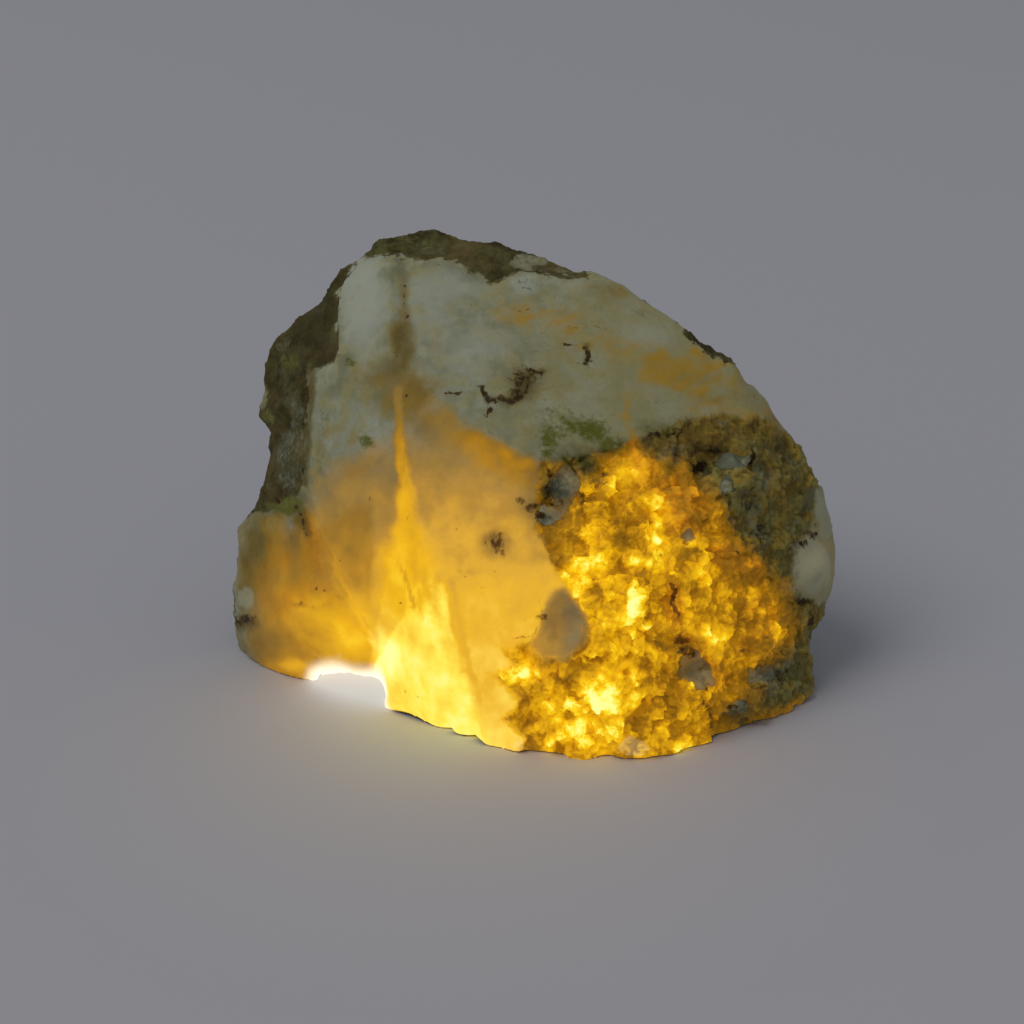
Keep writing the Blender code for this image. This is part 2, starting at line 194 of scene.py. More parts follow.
# Strokes on the broad face, as (half width, strength, line).
VEIN = [
    (0.35, 0.9, [(-13.2, 14.0), (-13.0, 8.3)]), (0.55, 1.0, [(-13.0, 8.3), (-12.3, 2.5)]),
    (0.9, 1.0, [(-12.3, 2.5), (-12.1, -2.0)]), (1.4, 1.0, [(-12.1, -2.6), (-12.0, -5.0)]),
    (2.4, 1.0, [(-12.2, -5.8), (-12.2, -10.0)]),
]
TENT_EDGE = [
    (0.7, 0.5, [(-12.6, 14.9), (-9.5, 12.2)]),
    (1.1, 1.0, [(-9.5, 12.2), (-6.7, 9.3), (-3.4, 7.3)]),
    (1.2, 1.0, [(-3.4, 7.3), (-0.1, 5.4), (1.6, 4.6)]),
]
UMBER_STROKES = [
    (0.34, 0.9, [(-0.3, 12.7), (-1.6, 13.2), (-2.7, 12.9), (-3.2, 13.6), (-3.5, 14.3)]),
    (0.22, 0.9, [(-2.3, 12.0), (-2.6, 11.6), (-3.0, 11.0)]),
    (0.42, 0.9, [(-0.3, 12.7), (0.6, 13.0), (1.5, 13.8), (2.4, 15.0), (3.2, 16.0)]),
    (0.34, 0.8, [(0.6, 12.9), (0.5, 14.1), (1.2, 15.2), (0.6, 16.1), (2.2, 16.3), (3.3, 16.0)]),
    (0.2, 0.8, [(0.5, 14.1), (1.5, 13.6)]), (0.2, 0.8, [(1.2, 15.2), (2.4, 14.9)]),
    (0.2, 0.7, [(-7.7, 13.8), (-6.8, 13.9), (-6.0, 13.7)]),
    (0.2, 0.7, [(6.0, 19.3), (7.4, 19.2)]), (0.26, 0.8, [(8.4, 19.0), (8.9, 18.2), (8.5, 17.2)]),
    (0.2, 0.5, [(4.8, 5.4), (4.5, 2.9), (4.9, 0.6)]),
    (0.25, 0.8, [(18.3, -8.4), (18.9, -9.4), (18.6, -10.6), (19.3, -11.9)]),
    (0.22, 0.7, [(22.0, -21.9), (23.1, -23.5), (23.4, -24.8)]),
    (0.16, 0.5, [(0.0, -14.6), (2.3, -14.2), (3.7, -12.2), (3.1, -10.4)]),
    (0.2, 0.7, [(-23.8, 14.8), (-23.6, 12.3), (-24.0, 10.0)]),
    (0.2, 0.6, [(-24.2, 4.8), (-24.5, 2.5)]),
    (0.25, 0.6, [(-24.9, 0.8), (-24.3, -0.6), (-23.6, -2.6)]),
    (0.12, 0.4, [(-12.2, 26.8), (-12.5, 24.6), (-12.3, 22.4), (-12.8, 20.4)]),
    (0.16, 0.5, [(13.2, 23.1), (15.4, 23.0)]),
    (0.1, 0.5, [(6.6, 21.3), (9.0, 21.6), (11.4, 21.0)]),
    (0.1, 0.5, [(0.2, 23.4), (1.6, 22.8), (2.0, 24.6)]),
]
STAIN_STROKES = [
    (0.5, 0.9, [(-0.3, 12.8), (1.5, 13.8), (3.2, 16.0)]), (0.4, 0.7, [(-0.3, 12.8), (-3.0, 13.0)]),
    (0.5, 0.8, [(-23.2, 16.4), (-23.3, 12.5), (-23.7, 10.0), (-23.8, 6.5), (-24.1, 3.6)]),
    (0.4, 0.6, [(4.8, 5.4), (4.4, 2.6)]), (0.5, 0.7, [(20.6, 8.0), (22.4, 7.2), (24.6, 7.0)]),
    (0.45, 0.8, [(-24.6, 0.6), (-23.9, -1.2), (-23.4, -2.6)]),
    (0.3, 0.5, [(8.5, 19.2), (8.7, 17.0)]),
    (0.3, 0.6, [(8.7, -13.2), (7.8, -15.9), (6.2, -17.2), (4.0, -17.2)]),
    (0.35, 0.3, [(-10.2, -7.4), (-9.6, -9.8), (-8.6, -11.4)]),
    (0.3, 0.35, [(13.0, 23.1), (15.6, 23.0)]), (0.3, 0.25, [(-12.9, -8.6), (-12.2, -11.0)]),
    (0.3, 0.35, [(-6.8, -8.4), (-5.6, -14.8), (-3.8, -22.0)]),
    # The next two strokes, along the spur's ridge, are partly a stain and partly painted shade that
    # tones down the ridge where the key light catches it.
    (0.45, 0.45, [(-23.2, -3.2), (-22.3, -4.4), (-20.9, -7.2), (-19.4, -9.6)]),
    (0.4, 0.35, [(-19.4, -9.6), (-17.4, -12.6), (-16.2, -14.2)]),
    (0.3, 0.35, [(-8.4, -7.2), (-9.0, -10.4), (-8.0, -13.0)]),
    (0.25, 0.3, [(-10.6, -9.0), (-10.4, -12.2)]),
    (0.22, 0.6, [(-12.4, -7.0), (-11.8, -9.0), (-11.3, -11.0)]),
    (0.18, 0.45, [(-13.2, -5.4), (-12.7, -6.8)]),
    (0.2, 0.4, [(-6.2, -6.6), (-5.0, -7.4), (-3.4, -6.8)]),
    (0.35, 0.3, [(-7.0, -7.8), (-3.6, -6.4), (-0.2, -8.4)]),
    (0.5, 0.5, [(30.4, 8.6), (32.6, 4.4), (33.6, 0.4)]), (0.4, 0.6, [(33.0, -9.6), (31.2, -12.6)]),
]
RUST_STROKES = [
    (1.2, 0.6, [(-0.6, 22.9), (3.4, 22.6), (7.0, 21.8)]),
    (1.3, 0.45, [(8.4, 19.6), (14.8, 18.5), (21.7, 17.2), (26.3, 15.4)]),
    (0.9, 1.0, [(16.4, 17.4), (20.5, 16.6), (24.6, 16.2)]),
    (0.8, 1.0, [(15.4, 15.8), (22.0, 14.2)]), (0.5, 0.9, [(18.6, 15.6), (25.4, 15.2)]),
    (0.4, 0.9, [(21.0, 18.2), (26.0, 17.0)]), (0.8, 0.7, [(22.0, 17.3), (26.6, 16.0)]),
    (1.6, 0.55, [(21.7, 11.8), (28.6, 10.6)]),
    (0.35, 0.8, [(13.3, 13.2), (13.5, 10.6), (13.8, 8.1), (14.3, 4.8)]),
    (1.1, 1.1, [(-24.0, -1.2), (-23.4, -3.6), (-22.9, -6.0)]),
    (1.2, 1.1, [(-27.4, -1.4), (-27.0, -5.4)]), (1.0, 0.9, [(-28.6, -6.6), (-28.4, -9.6)]),
    (1.4, 0.45, [(-22.0, 3.8), (-19.0, 5.0), (-16.6, 6.2)]),
    (2.1, 0.85, [(18.6, 3.6), (20.6, -0.6)]), (1.3, 1.0, [(24.6, -4.6), (28.0, -6.4)]),
    (1.4, 0.6, [(15.4, 5.6), (16.4, 3.6)]), (1.6, 0.5, [(28.8, -11.0), (28.2, -15.0)]),
    (0.9, 0.7, [(18.6, -9.0), (18.8, -12.4)]), (1.3, 0.6, [(-24.4, -9.2), (-26.6, -10.6)]),
    (1.2, 0.6, [(20.6, -15.4), (23.8, -19.2)]), (1.1, 0.5, [(0.2, -15.2), (4.6, -18.6)]),
]

# Patches on the broad face, as (across, up, half width, half height, strength).
UMBER_SPOTS = [
    (3.5, -12.1, 0.6, 0.5, 0.8), (-1.9, -3.4, 0.8, 0.8, 1.0), (-2.9, -3.6, 0.4, 0.35, 0.8),
    (-1.3, -4.6, 0.5, 0.4, 0.9), (-1.4, -2.6, 0.6, 0.25, 0.7), (-2.4, -2.4, 0.3, 0.3, 0.7),
    (1.0, 1.2, 0.6, 0.4, 0.8), (0.6, 14.1, 0.9, 1.4, 0.72), (1.8, 15.4, 1.0, 0.7, 0.68),
    (2.3, 0.5, 0.9, 0.5, 0.9), (3.3, -0.4, 0.7, 0.5, 0.9), (8.0, 1.7, 0.4, 1.1, 0.8),
    (10.7, 4.3, 0.5, 0.4, 0.8), (9.3, 2.9, 0.4, 0.5, 0.6), (16.6, 8.9, 0.9, 0.35, 0.8),
    (18.4, 9.2, 0.8, 0.3, 0.6), (21.6, 5.2, 0.7, 0.7, 1.0), (23.3, 6.9, 1.1, 0.35, 1.0),
    (27.8, 6.2, 0.3, 1.0, 0.9), (34.5, -2.6, 1.0, 0.4, 0.7), (33.6, -3.6, 0.5, 0.4, 0.7),
    (19.9, -14.9, 1.2, 0.5, 0.8), (20.2, -16.1, 1.0, 0.5, 0.9), (33.6, -10.3, 0.9, 0.5, 0.8),
    (34.6, -12.6, 0.7, 1.0, 0.6), (-30.8, -12.5, 1.3, 0.7, 0.8), (-22.7, -8.9, 0.2, 0.2, 0.9),
    (-21.7, -9.1, 0.2, 0.16, 1.0), (-24.3, -10.6, 0.5, 0.3, 0.5), (-23.0, -11.0, 0.3, 0.2, 0.4),
    (-27.4, -11.1, 0.25, 0.2, 0.6), (-18.2, 6.2, 0.3, 0.3, 0.6), (-16.5, 1.6, 0.15, 0.15, 0.9),
    (-12.1, -0.6, 0.2, 0.2, 0.5), (-5.3, -7.4, 0.2, 0.2, 0.5), (-3.8, -8.8, 0.8, 0.4, 0.3),
    (0.8, -7.7, 0.6, 0.3, 0.3), (-2.0, -6.9, 0.8, 0.25, 0.35), (-12.8, -10.6, 0.16, 0.16, 0.8),
    (-12.3, -20.9, 0.16, 0.16, 0.8), (-10.8, -21.3, 0.2, 0.4, 0.6), (-5.8, -18.4, 0.25, 0.2, 0.4),
    (-12.2, 13.4, 0.25, 0.2, 0.8), (-11.6, 13.3, 0.16, 0.16, 0.7), (-12.2, 22.6, 0.2, 0.25, 0.7),
    (-13.1, 18.0, 0.3, 0.7, 0.3), (-27.3, 12.9, 0.6, 0.9, 0.6), (-28.1, 9.5, 0.5, 0.6, 0.7),
    (-28.8, 2.3, 0.7, 0.5, 0.8), (-27.0, 1.4, 0.5, 0.5, 0.8), (16.0, -1.2, 0.25, 0.25, 0.8),
    (16.6, 3.0, 0.3, 0.2, 0.7), (17.0, -4.9, 0.25, 0.25, 0.8), (22.6, -1.0, 0.4, 0.2, 0.8),
    (24.0, -1.6, 0.25, 0.4, 0.7), (20.0, -3.6, 0.4, 0.25, 0.9), (29.0, -14.5, 0.4, 0.3, 0.7),
    (32.0, -13.4, 0.3, 0.3, 0.8), (28.8, -20.2, 1.0, 0.3, 0.7), (25.6, -22.6, 0.7, 0.3, 0.7),
    (26.6, -16.0, 0.5, 0.3, 0.7), (22.8, -11.7, 0.3, 0.25, 0.6), (23.6, -10.4, 0.25, 0.3, 0.5),
    (-17.1, 7.4, 0.5, 0.2, 0.4), (-19.8, -5.6, 0.14, 0.14, 0.7), (-9.0, 1.0, 0.13, 0.13, 0.6),
    (-4.2, 3.6, 0.13, 0.13, 0.6), (-6.6, -1.8, 0.15, 0.12, 0.6), (-14.6, 4.6, 0.13, 0.13, 0.6),
    (3.4, 20.6, 0.16, 0.14, 0.6),
]
MOSS_PATCHES = [
    (4.3, 8.3, 1.5, 2.4, 0.8), (9.3, 9.6, 2.0, 1.8, 0.95), (7.3, 5.9, 2.4, 1.2, 0.8),
    (6.5, 10.0, 1.2, 1.5, 0.7), (11.5, 7.6, 2.0, 1.2, 0.8), (-18.7, 17.3, 0.8, 0.7, 1.0),
    (-16.8, 8.2, 1.0, 0.8, 0.7), (17.1, 12.9, 1.4, 1.0, 0.3), (2.6, 15.2, 1.6, 1.4, 0.5),
    (1.0, 13.6, 1.6, 1.2, 0.3), (-1.8, 12.8, 1.5, 0.8, 0.5), (-6.9, 13.8, 1.2, 0.4, 0.4),
    (-21.6, 11.0, 0.8, 3.4, 0.5), (-22.2, 5.6, 0.8, 3.0, 0.4), (8.6, 3.6, 1.8, 0.9, 0.6),
    (5.0, 11.6, 2.0, 1.0, 0.5), (10.6, 11.6, 1.4, 1.0, 0.5), (16.6, 9.6, 3.0, 1.0, 0.6),
    (23.6, 4.8, 2.4, 1.2, 0.5), (26.6, 3.0, 2.0, 2.2, 0.5), (-26.0, 0.6, 2.6, 1.2, 0.9),
    (-29.0, -5.0, 1.2, 3.0, 0.5), (-22.9, -7.2, 0.7, 3.0, 0.35), (28.2, 8.6, 3.0, 1.4, 0.5),
    (-25.6, 17.4, 1.6, 1.0, 0.7), (-28.6, 13.8, 0.8, 1.8, 0.7), (-28.2, 10.8, 0.9, 1.4, 0.7),
    (-22.6, 29.0, 2.0, 0.9, 0.5), (-10.6, 31.0, 2.6, 0.8, 0.5),
]
STAIN_PATCHES = [
    (-12.5, 19.4, 1.1, 3.2, 0.75), (-12.2, 24.0, 0.6, 3.0, 0.4), (-13.6, 16.6, 2.2, 1.6, 0.55),
    (-12.0, 15.0, 3.0, 1.6, 0.35), (10.0, 12.6, 3.0, 1.6, 0.22), (5.6, 15.0, 2.4, 2.4, 0.15),
    (-1.6, 11.2, 2.2, 1.2, 0.2), (-21.0, 14.2, 1.2, 1.4, 0.2), (-18.6, 10.0, 2.0, 1.2, 0.15),
    (1.6, 14.7, 1.5, 1.7, 1.0), (6.8, 6.4, 3.4, 1.8, 0.6), (3.6, 8.2, 1.3, 2.0, 0.4),
    (10.0, 8.4, 2.6, 1.8, 0.4), (-26.2, 1.2, 2.4, 1.3, 0.95), (-24.5, -0.8, 0.9, 1.8, 0.8),
    (-29.6, -4.4, 1.7, 4.8, 0.55), (-28.0, 0.0, 1.6, 1.6, 0.6), (-31.2, -10.6, 0.9, 2.6, 0.4),
    (-30.6, -12.8, 1.9, 0.9, 0.95), (-29.0, -15.6, 3.0, 2.2, 0.4), (-25.2, -3.4, 0.8, 2.6, 0.55),
    (-25.6, -3.4, 0.9, 2.6, 0.35), (1.6, 0.6, 1.8, 1.3, 0.6), (-1.9, -3.5, 1.9, 1.6, 0.6),
    (0.4, -2.0, 1.4, 0.5, 0.35), (-22.0, 9.6, 0.6, 5.0, 0.3), (-16.6, 4.4, 1.2, 0.5, 0.2),
    (3.0, -5.2, 1.8, 0.8, 0.25), (-24.6, -10.8, 0.9, 0.5, 0.5), (-22.6, -11.1, 0.8, 0.4, 0.35),
    (-4.6, 27.2, 1.6, 0.8, 0.5), (10.6, 25.8, 1.6, 0.7, 0.4), (29.0, 10.0, 3.6, 1.4, 0.4),
    (24.0, 13.4, 4.0, 0.7, 0.22), (22.0, 15.4, 3.0, 0.5, 0.25), (16.6, 9.8, 3.0, 1.0, 0.5),
    (-9.6, 14.2, 2.0, 0.8, 0.3),
]
OCHRE_PATCHES = [
    (-11.8, 13.2, 3.0, 2.8, 1.0), (-29.0, -15.4, 3.4, 3.0, 0.6), (-29.4, -6.4, 2.2, 6.0, 0.85),
    (-26.0, -6.0, 4.0, 6.4, 0.22), (-13.8, 15.6, 3.6, 1.6, 0.75), (-12.6, 19.4, 1.2, 3.4, 0.75),
    (-12.4, 24.6, 0.7, 3.6, 0.4), (-14.8, 13.0, 2.6, 2.0, 0.35), (-10.0, 13.6, 2.6, 1.4, 0.45),
    (4.0, 4.6, 1.0, 1.8, 0.7), (2.0, 6.4, 1.2, 0.8, 0.4), (-19.5, 8.4, 3.0, 1.6, 0.25),
    (-2.0, -3.6, 1.9, 1.7, 0.6), (3.0, -5.2, 1.6, 1.2, 0.3), (1.6, 14.2, 3.0, 2.4, 0.3),
    (12.0, 15.0, 6.0, 3.0, 0.15), (-9.2, 19.4, 0.9, 1.8, 0.3), (31.0, 9.6, 3.0, 3.0, 0.5),
    (-2.6, 28.0, 1.6, 1.0, 0.5), (11.2, 25.4, 3.0, 1.1, 0.5), (-8.4, 9.6, 2.8, 2.4, 0.8),
    (21.0, 7.8, 5.4, 2.0, 0.9), (-17.6, -16.4, 1.0, 1.0, 0.3), (6.6, 18.6, 1.6, 1.2, 0.3),
]
SLATE_PATCHES = [
    (6.1, 3.2, 1.7, 1.9, 1.0), (4.1, -0.4, 1.6, 1.2, 1.0), (5.9, 0.6, 1.0, 1.4, 0.7),
    (25.5, 5.8, 2.1, 0.9, 1.0), (24.7, 3.2, 0.9, 1.4, 0.8), (27.4, 0.8, 1.2, 0.9, 0.45),
    (26.4, -22.5, 1.2, 0.8, 1.0), (29.0, -18.6, 1.8, 1.0, 0.8), (20.6, -18.6, 1.5, 1.1, 1.0),
    (28.6, -3.0, 2.0, 2.1, 0.4), (20.4, -2.8, 0.6, 0.8, 0.9), (19.5, 6.6, 2.0, 1.2, 0.42),
    (10.0, 3.4, 1.2, 0.7, 0.4), (-25.6, 6.0, 1.6, 3.9, 0.58), (-24.8, 11.0, 1.0, 2.9, 0.62),
    (1.8, 26.0, 1.6, 1.0, 0.3), (31.0, -17.6, 1.2, 2.6, 0.4),
]
PALE_LUMPS = [
    (2.0, 28.8, 2.8, 0.9, 0.55), (6.4, 27.9, 2.2, 0.6, 0.4), (-9.0, 30.2, 2.0, 0.7, 0.35),
    (27.0, 5.9, 0.6, 0.6, 1.0), (24.6, 2.8, 0.8, 1.2, 0.6), (36.3, 0.3, 1.3, 3.4, 1.0),
    (34.4, -6.2, 2.2, 3.2, 1.0), (14.0, -27.2, 1.7, 1.3, 0.7), (0.9, -26.9, 1.0, 0.9, 0.6),
    (-30.6, -9.8, 1.1, 1.5, 0.6), (26.3, -22.4, 0.7, 0.7, 0.5), (-26.4, 19.3, 1.2, 1.0, 0.35),
    (-28.6, 13.1, 0.6, 1.5, 0.5), (21.6, -19.8, 0.7, 0.4, 0.5), (19.0, 7.6, 0.9, 0.6, 0.4),
    (26.9, 2.2, 0.9, 0.7, 0.4), (6.3, 3.3, 1.0, 1.2, 0.5), (28.6, -19.2, 0.9, 0.6, 0.5),
    (-27.2, 16.6, 0.7, 0.9, 0.3),
]
# Whiter opal; the first patch, on the upper-left facet turned towards the key light, is partly
# painted light.
WHITE_PATCHES = [
    (-17.2, 24.4, 2.6, 5.6, 1.0), (-7.6, 26.0, 4.2, 2.0, 0.6), (-5.0, 19.4, 5.6, 4.0, 0.45),
    (1.5, 26.0, 1.6, 1.2, 0.8), (8.4, 12.4, 2.6, 1.8, 0.35), (18.6, 11.6, 2.6, 1.2, 0.3),
    (-9.2, 22.6, 1.2, 1.6, 0.4), (15.9, 20.4, 3.0, 1.5, 0.55), (24.0, 11.6, 2.6, 1.0, 0.3),
    (6.0, 26.0, 2.4, 1.0, 0.4),
]
# The spur's ridge, worn round, and where the crust is worn off its turned rim.
SPUR_RIDGE = [(-24.2, 0.2), (-22.5, -3.6), (-19.7, -9.0), (-16.0, -14.3)]
WORN_RIM = [(-30.6, -4.0, 2.6, 5.2, 3.2)]

# Bright cores, clear facets and dull places in the painted glow of lamplight from below.
CORES = [
    (10.7, -21.9, 2.0, 1.8, 0.46), (13.8, -12.0, 1.8, 2.6, 0.56), (11.5, -20.6, 2.8, 2.1, 0.14),
    (14.8, -10.4, 1.2, 1.6, 0.1), (17.1, -7.8, 1.9, 2.2, 0.12), (7.8, -6.1, 2.6, 1.9, 0.06),
    (13.3, 3.3, 2.1, 1.3, -0.02), (17.1, -1.8, 1.6, 3.0, 0.08), (24.1, -14.8, 2.2, 2.1, 0.2),
    (22.4, -7.0, 2.4, 1.6, 0.12), (10.1, -25.7, 3.0, 1.4, 0.08), (4.4, -23.6, 2.6, 3.0, 0.1),
    (-22.6, -11.6, 4.4, 3.2, 0.26), (-18.0, -15.2, 3.2, 2.6, 0.42), (-25.4, -17.7, 2.6, 0.8, 0.22),
    (-19.4, -12.4, 2.0, 2.0, 0.14), (-14.4, -17.0, 1.8, 2.4, 0.16), (14.3, 6.6, 0.7, 2.0, 0.2),
    (-3.0, -27.0, 3.4, 1.6, 0.08), (-19.4, 3.6, 2.8, 1.6, 0.06), (34.6, -5.8, 3.4, 4.4, 0.13),
    (4.8, -24.0, 3.0, 2.4, 0.1), (27.6, -21.0, 2.4, 2.2, 0.16), (30.2, -16.4, 1.8, 1.8, 0.1),
    (19.0, 7.0, 2.6, 1.4, 0.08), (-14.6, -6.4, 2.0, 3.6, 0.03), (-5.4, -21.6, 1.1, 3.4, 0.1),
    (31.0, -13.0, 2.4, 2.6, 0.14), (-0.6, -19.0, 2.0, 3.0, 0.06), (18.0, -2.0, 1.2, 1.6, 0.08),
    (-9.1, -12.0, 1.5, 2.4, 0.08), (-3.6, -15.0, 1.8, 2.6, 0.05), (27.2, -21.4, 1.6, 1.4, 0.08),
]
CLEAR_FACETS = [
    (10.4, -6.2, 1.5, 1.3, 0.2), (14.8, -5.9, 1.3, 0.8, 0.26), (17.2, 0.4, 0.9, 2.6, 0.2),
    (16.6, -2.6, 1.5, 1.4, 0.14), (4.6, 0.2, 0.9, 0.5, 0.3), (12.4, 2.6, 1.2, 2.0, 0.1),
    (21.6, -3.4, 1.4, 1.0, 0.16), (19.0, -17.0, 1.6, 0.8, 0.1), (8.6, -19.8, 1.0, 1.4, 0.14),
    (13.6, -15.4, 1.0, 0.8, 0.1), (11.6, -10.0, 1.2, 1.0, 0.1), (7.4, -25.0, 1.3, 1.0, 0.12),
    (16.0, -20.0, 1.2, 1.6, 0.1), (20.6, -12.4, 1.4, 1.2, 0.12), (2.0, -18.4, 1.2, 1.4, 0.16),
    (27.2, -9.2, 1.8, 1.0, 0.12), (12.6, -3.0, 1.2, 0.9, -0.14), (9.4, -8.8, 1.2, 0.8, -0.12),
    (16.6, -14.0, 1.0, 1.6, -0.14), (6.0, -19.6, 1.0, 1.0, -0.12), (14.6, -23.4, 1.4, 1.0, -0.14),
    (19.4, -21.6, 1.6, 1.2, -0.16), (10.0, 0.8, 1.4, 1.6, -0.12), (1.4, -23.2, 0.8, 1.6, -0.14),
    (25.4, -6.6, 1.6, 1.0, -0.1), (23.6, -12.0, 1.2, 0.8, -0.12),
]
DULL = [
    (19.9, 0.6, 2.0, 3.2, 0.14), (13.3, -16.3, 1.0, 1.0, 0.3), (18.9, -10.2, 0.8, 2.4, 0.28),
    (22.4, -23.0, 1.0, 1.8, 0.3), (21.4, -17.9, 2.2, 2.2, 0.55), (4.8, 3.0, 2.8, 2.6, 0.92),
    (16.6, -17.4, 1.8, 1.4, 0.2), (8.2, 5.4, 2.6, 1.8, 0.85), (10.6, 7.2, 2.4, 1.2, 0.7),
    (3.8, -0.8, 1.8, 1.3, 0.8), (9.6, -12.0, 1.4, 3.4, 0.18), (27.6, -12.6, 3.0, 1.6, 0.12),
    (-2.0, -3.6, 1.2, 1.1, 0.25), (1.0, -5.0, 2.8, 2.6, 0.12), (-27.6, -14.4, 2.6, 1.6, 0.15),
    (12.8, -1.0, 1.2, 2.0, 0.12),
]
# How far the foot's front corner beside the notch is lifted, across the face.
CORNER_LIFT = ((-17.0, -14.4, -13.2, -11.5, -9.0), (1.6, 1.6, 0.9, 0.5, 0.0))

# How bright the painted glow of lamplight from below is at each height up the face.
TENT_LIGHT = (
    (-27.0, -15.0, -7.0, -3.0, 3.0, 9.0, 15.0), (0.9, 0.83, 0.71, 0.61, 0.46, 0.16, 0.0))
LEFT_LIGHT = ((-18.0, -12.0, -6.0, -1.0, 4.0, 10.0), (0.68, 0.63, 0.54, 0.40, 0.26, 0.11))
SPUR_LIGHT = ((-18.0, -14.0, -9.0, -4.0, 0.5), (0.44, 0.44, 0.38, 0.26, 0.10))
VEIN_LIGHT = ((-10.0, -7.0, -3.0, 2.0, 8.0, 14.0), (0.85, 0.79, 0.77, 0.71, 0.54, 0.22))
EDGE_LIGHT = ((4.0, 8.0, 14.0), (0.51, 0.41, 0.12))
WEDGE_LIGHT = ((-24.0, -18.0, -12.0, -8.0), (0.97, 0.99, 0.93, 0.83))


def soft_step(low, high, value):
    """Rises smoothly from 0 at low to 1 at high, or falls where low is the larger."""
    share = np.clip((value - low) / (high - low), 0.0, 1.0)
    return share * share * (3.0 - 2.0 * share)


def line_reach(spots, line):
    """Distance from each flat spot to an open line."""
    best = np.full(len(spots), FAR)
    for start, end in zip(line, line[1:]):
        start, along = np.array(start), np.subtract(end, start)
        share = np.clip((spots - start) @ along / (along @ along), 0.0, 1.0)
        best = np.minimum(best, np.linalg.norm(spots - start - share[:, None] * along, axis=1))
    return best


def ring_depth(spots, ring):
    """How far inside a closed ring each flat spot lies, negative outside."""
    inside = np.zeros(len(spots), bool)
    for (ax, ay), (bx, by) in zip(ring, ring[1:] + ring[:1]):
        crosses = (ay > spots[:, 1]) != (by > spots[:, 1])
        if ay != by:
            edge = (bx - ax) * (spots[:, 1] - ay) / (by - ay) + ax
            inside ^= crosses & (spots[:, 0] < edge)
    reach = line_reach(spots, ring + ring[:1])
    return np.where(inside, reach, -reach)


def stroke_mask(spots, strokes, fade=1.35):
    """The strongest of some strokes at each flat spot."""
    mask = np.zeros(len(spots))
    for half_width, strength, line in strokes:
        reach = line_reach(spots, line) / half_width
        mask = np.maximum(mask, strength * soft_step(fade, 0.45, reach))
    return mask


def ovals(spots, patches):
    """Each oval patch's own reach over the flat spots, 1 at its edge, and its strength."""
    for across, up, half_width, half_height, strength in patches:
        reach = np.hypot((spots[:, 0] - across) / half_width, (spots[:, 1] - up) / half_height)
        yield reach, strength


def patch_mask(spots, patches, soft=0.35):
    """The strongest of some oval patches at each flat spot."""
    mask = np.zeros(len(spots))
    for reach, strength in ovals(spots, patches):
        mask = np.maximum(mask, strength * soft_step(1.0 + soft, 1.0 - soft, reach))
    return mask


def patch_sum(spots, patches):
    """The sum of some soft oval patches at each flat spot."""
    total = np.zeros(len(spots))
    for reach, strength in ovals(spots, patches):
        total += strength * np.exp(-OVAL_FALL * reach ** 2)
    return total


def facet_sum(spots, facets):
    """The sum of some crisp oval facets at each flat spot."""
    total = np.zeros(len(spots))
    for reach, strength in ovals(spots, facets):
        total += strength * soft_step(1.25, 0.75, reach)
    return total


def patch_keep(spots, patches):
    """What soft oval patches let through, each taking its strength away."""
    keep = np.ones(len(spots))
    for reach, strength in ovals(spots, patches):
        keep *= 1.0 - strength * np.exp(-OVAL_FALL * reach ** 2)
    return keep


def grain(points, size, offset=0.0):
    """Smooth fractal noise of about -1 to 1 at each point, with lumps of a size in mm."""
    shift = Vector((offset, offset * 0.7, -offset))
    return np.array([noise.fractal(Vector(p) / size + shift, 0.9, 2.1, 3) for p in points])


def chunks(points, size):
    """Blocks of a size in mm: (height, 0 in the cracks to 1 on top; own tone; slope in mm)."""
    height, tone, slope = np.empty((3, len(points)))
    level = Vector((0.5, 0.5, 0.5))
    for i, point in enumerate(points):
        spot = Vector(point) / size
        distances, places = noise.voronoi(spot)
        block = min(max((distances[1] - distances[0]) / 0.42, 0.0), 1.0)
        height[i] = block * block * (3.0 - 2.0 * block)
        tone[i] = noise.cell(places[0] * 7.3)
        slope[i] = size * (spot - places[0]).dot(noise.cell_vector(places[0] * 5.1) - level)
    return height, tone, slope


def flat_spots(points):
    """Upright millimetres to spots on the leaning face, as seen from in front."""
    x, y, z = (points - FACE_MIDDLE).T
    up = y * math.sin(LEAN) + z * math.cos(LEAN)
    out = z * math.sin(LEAN) - y * math.cos(LEAN)
    scale = VIEW_DISTANCE / (VIEW_DISTANCE - out)
    return np.column_stack((x * scale, up * scale))


def read_mesh(mesh):
    """Vertex places in mm, and vertex normals."""
    places = np.empty(len(mesh.vertices) * 3)
    normals = np.empty(len(mesh.vertices) * 3)
    mesh.vertices.foreach_get("co", places)
    mesh.vertex_normals.foreach_get("vector", normals)
    return places.reshape(-1, 3) / MM, normals.reshape(-1, 3)


def write_places(mesh, places):
    mesh.vertices.foreach_set("co", (places * MM).ravel())
    mesh.update()


def store(mesh, name, values):
    layer = mesh.attributes.new(name, "FLOAT", "POINT")
    layer.data.foreach_set("value", np.ascontiguousarray(values, dtype=np.float32))


def baked(obj):
    graph = bpy.context.evaluated_depsgraph_get()
    return bpy.data.meshes.new_from_object(obj.evaluated_get(graph))


def add_object(name, mesh):
    obj = bpy.data.objects.new(name, mesh)
    bpy.context.scene.collection.objects.link(obj)
    return obj


def facing_share(normals):
    """How squarely the skin faces out of the broad face, -1 to 1, and a share of 0 to 1 from it."""
    front = normals[:, 1] * -math.cos(LEAN) + normals[:, 2] * math.sin(LEAN)
    return front, soft_step(-0.15, 0.2, front)


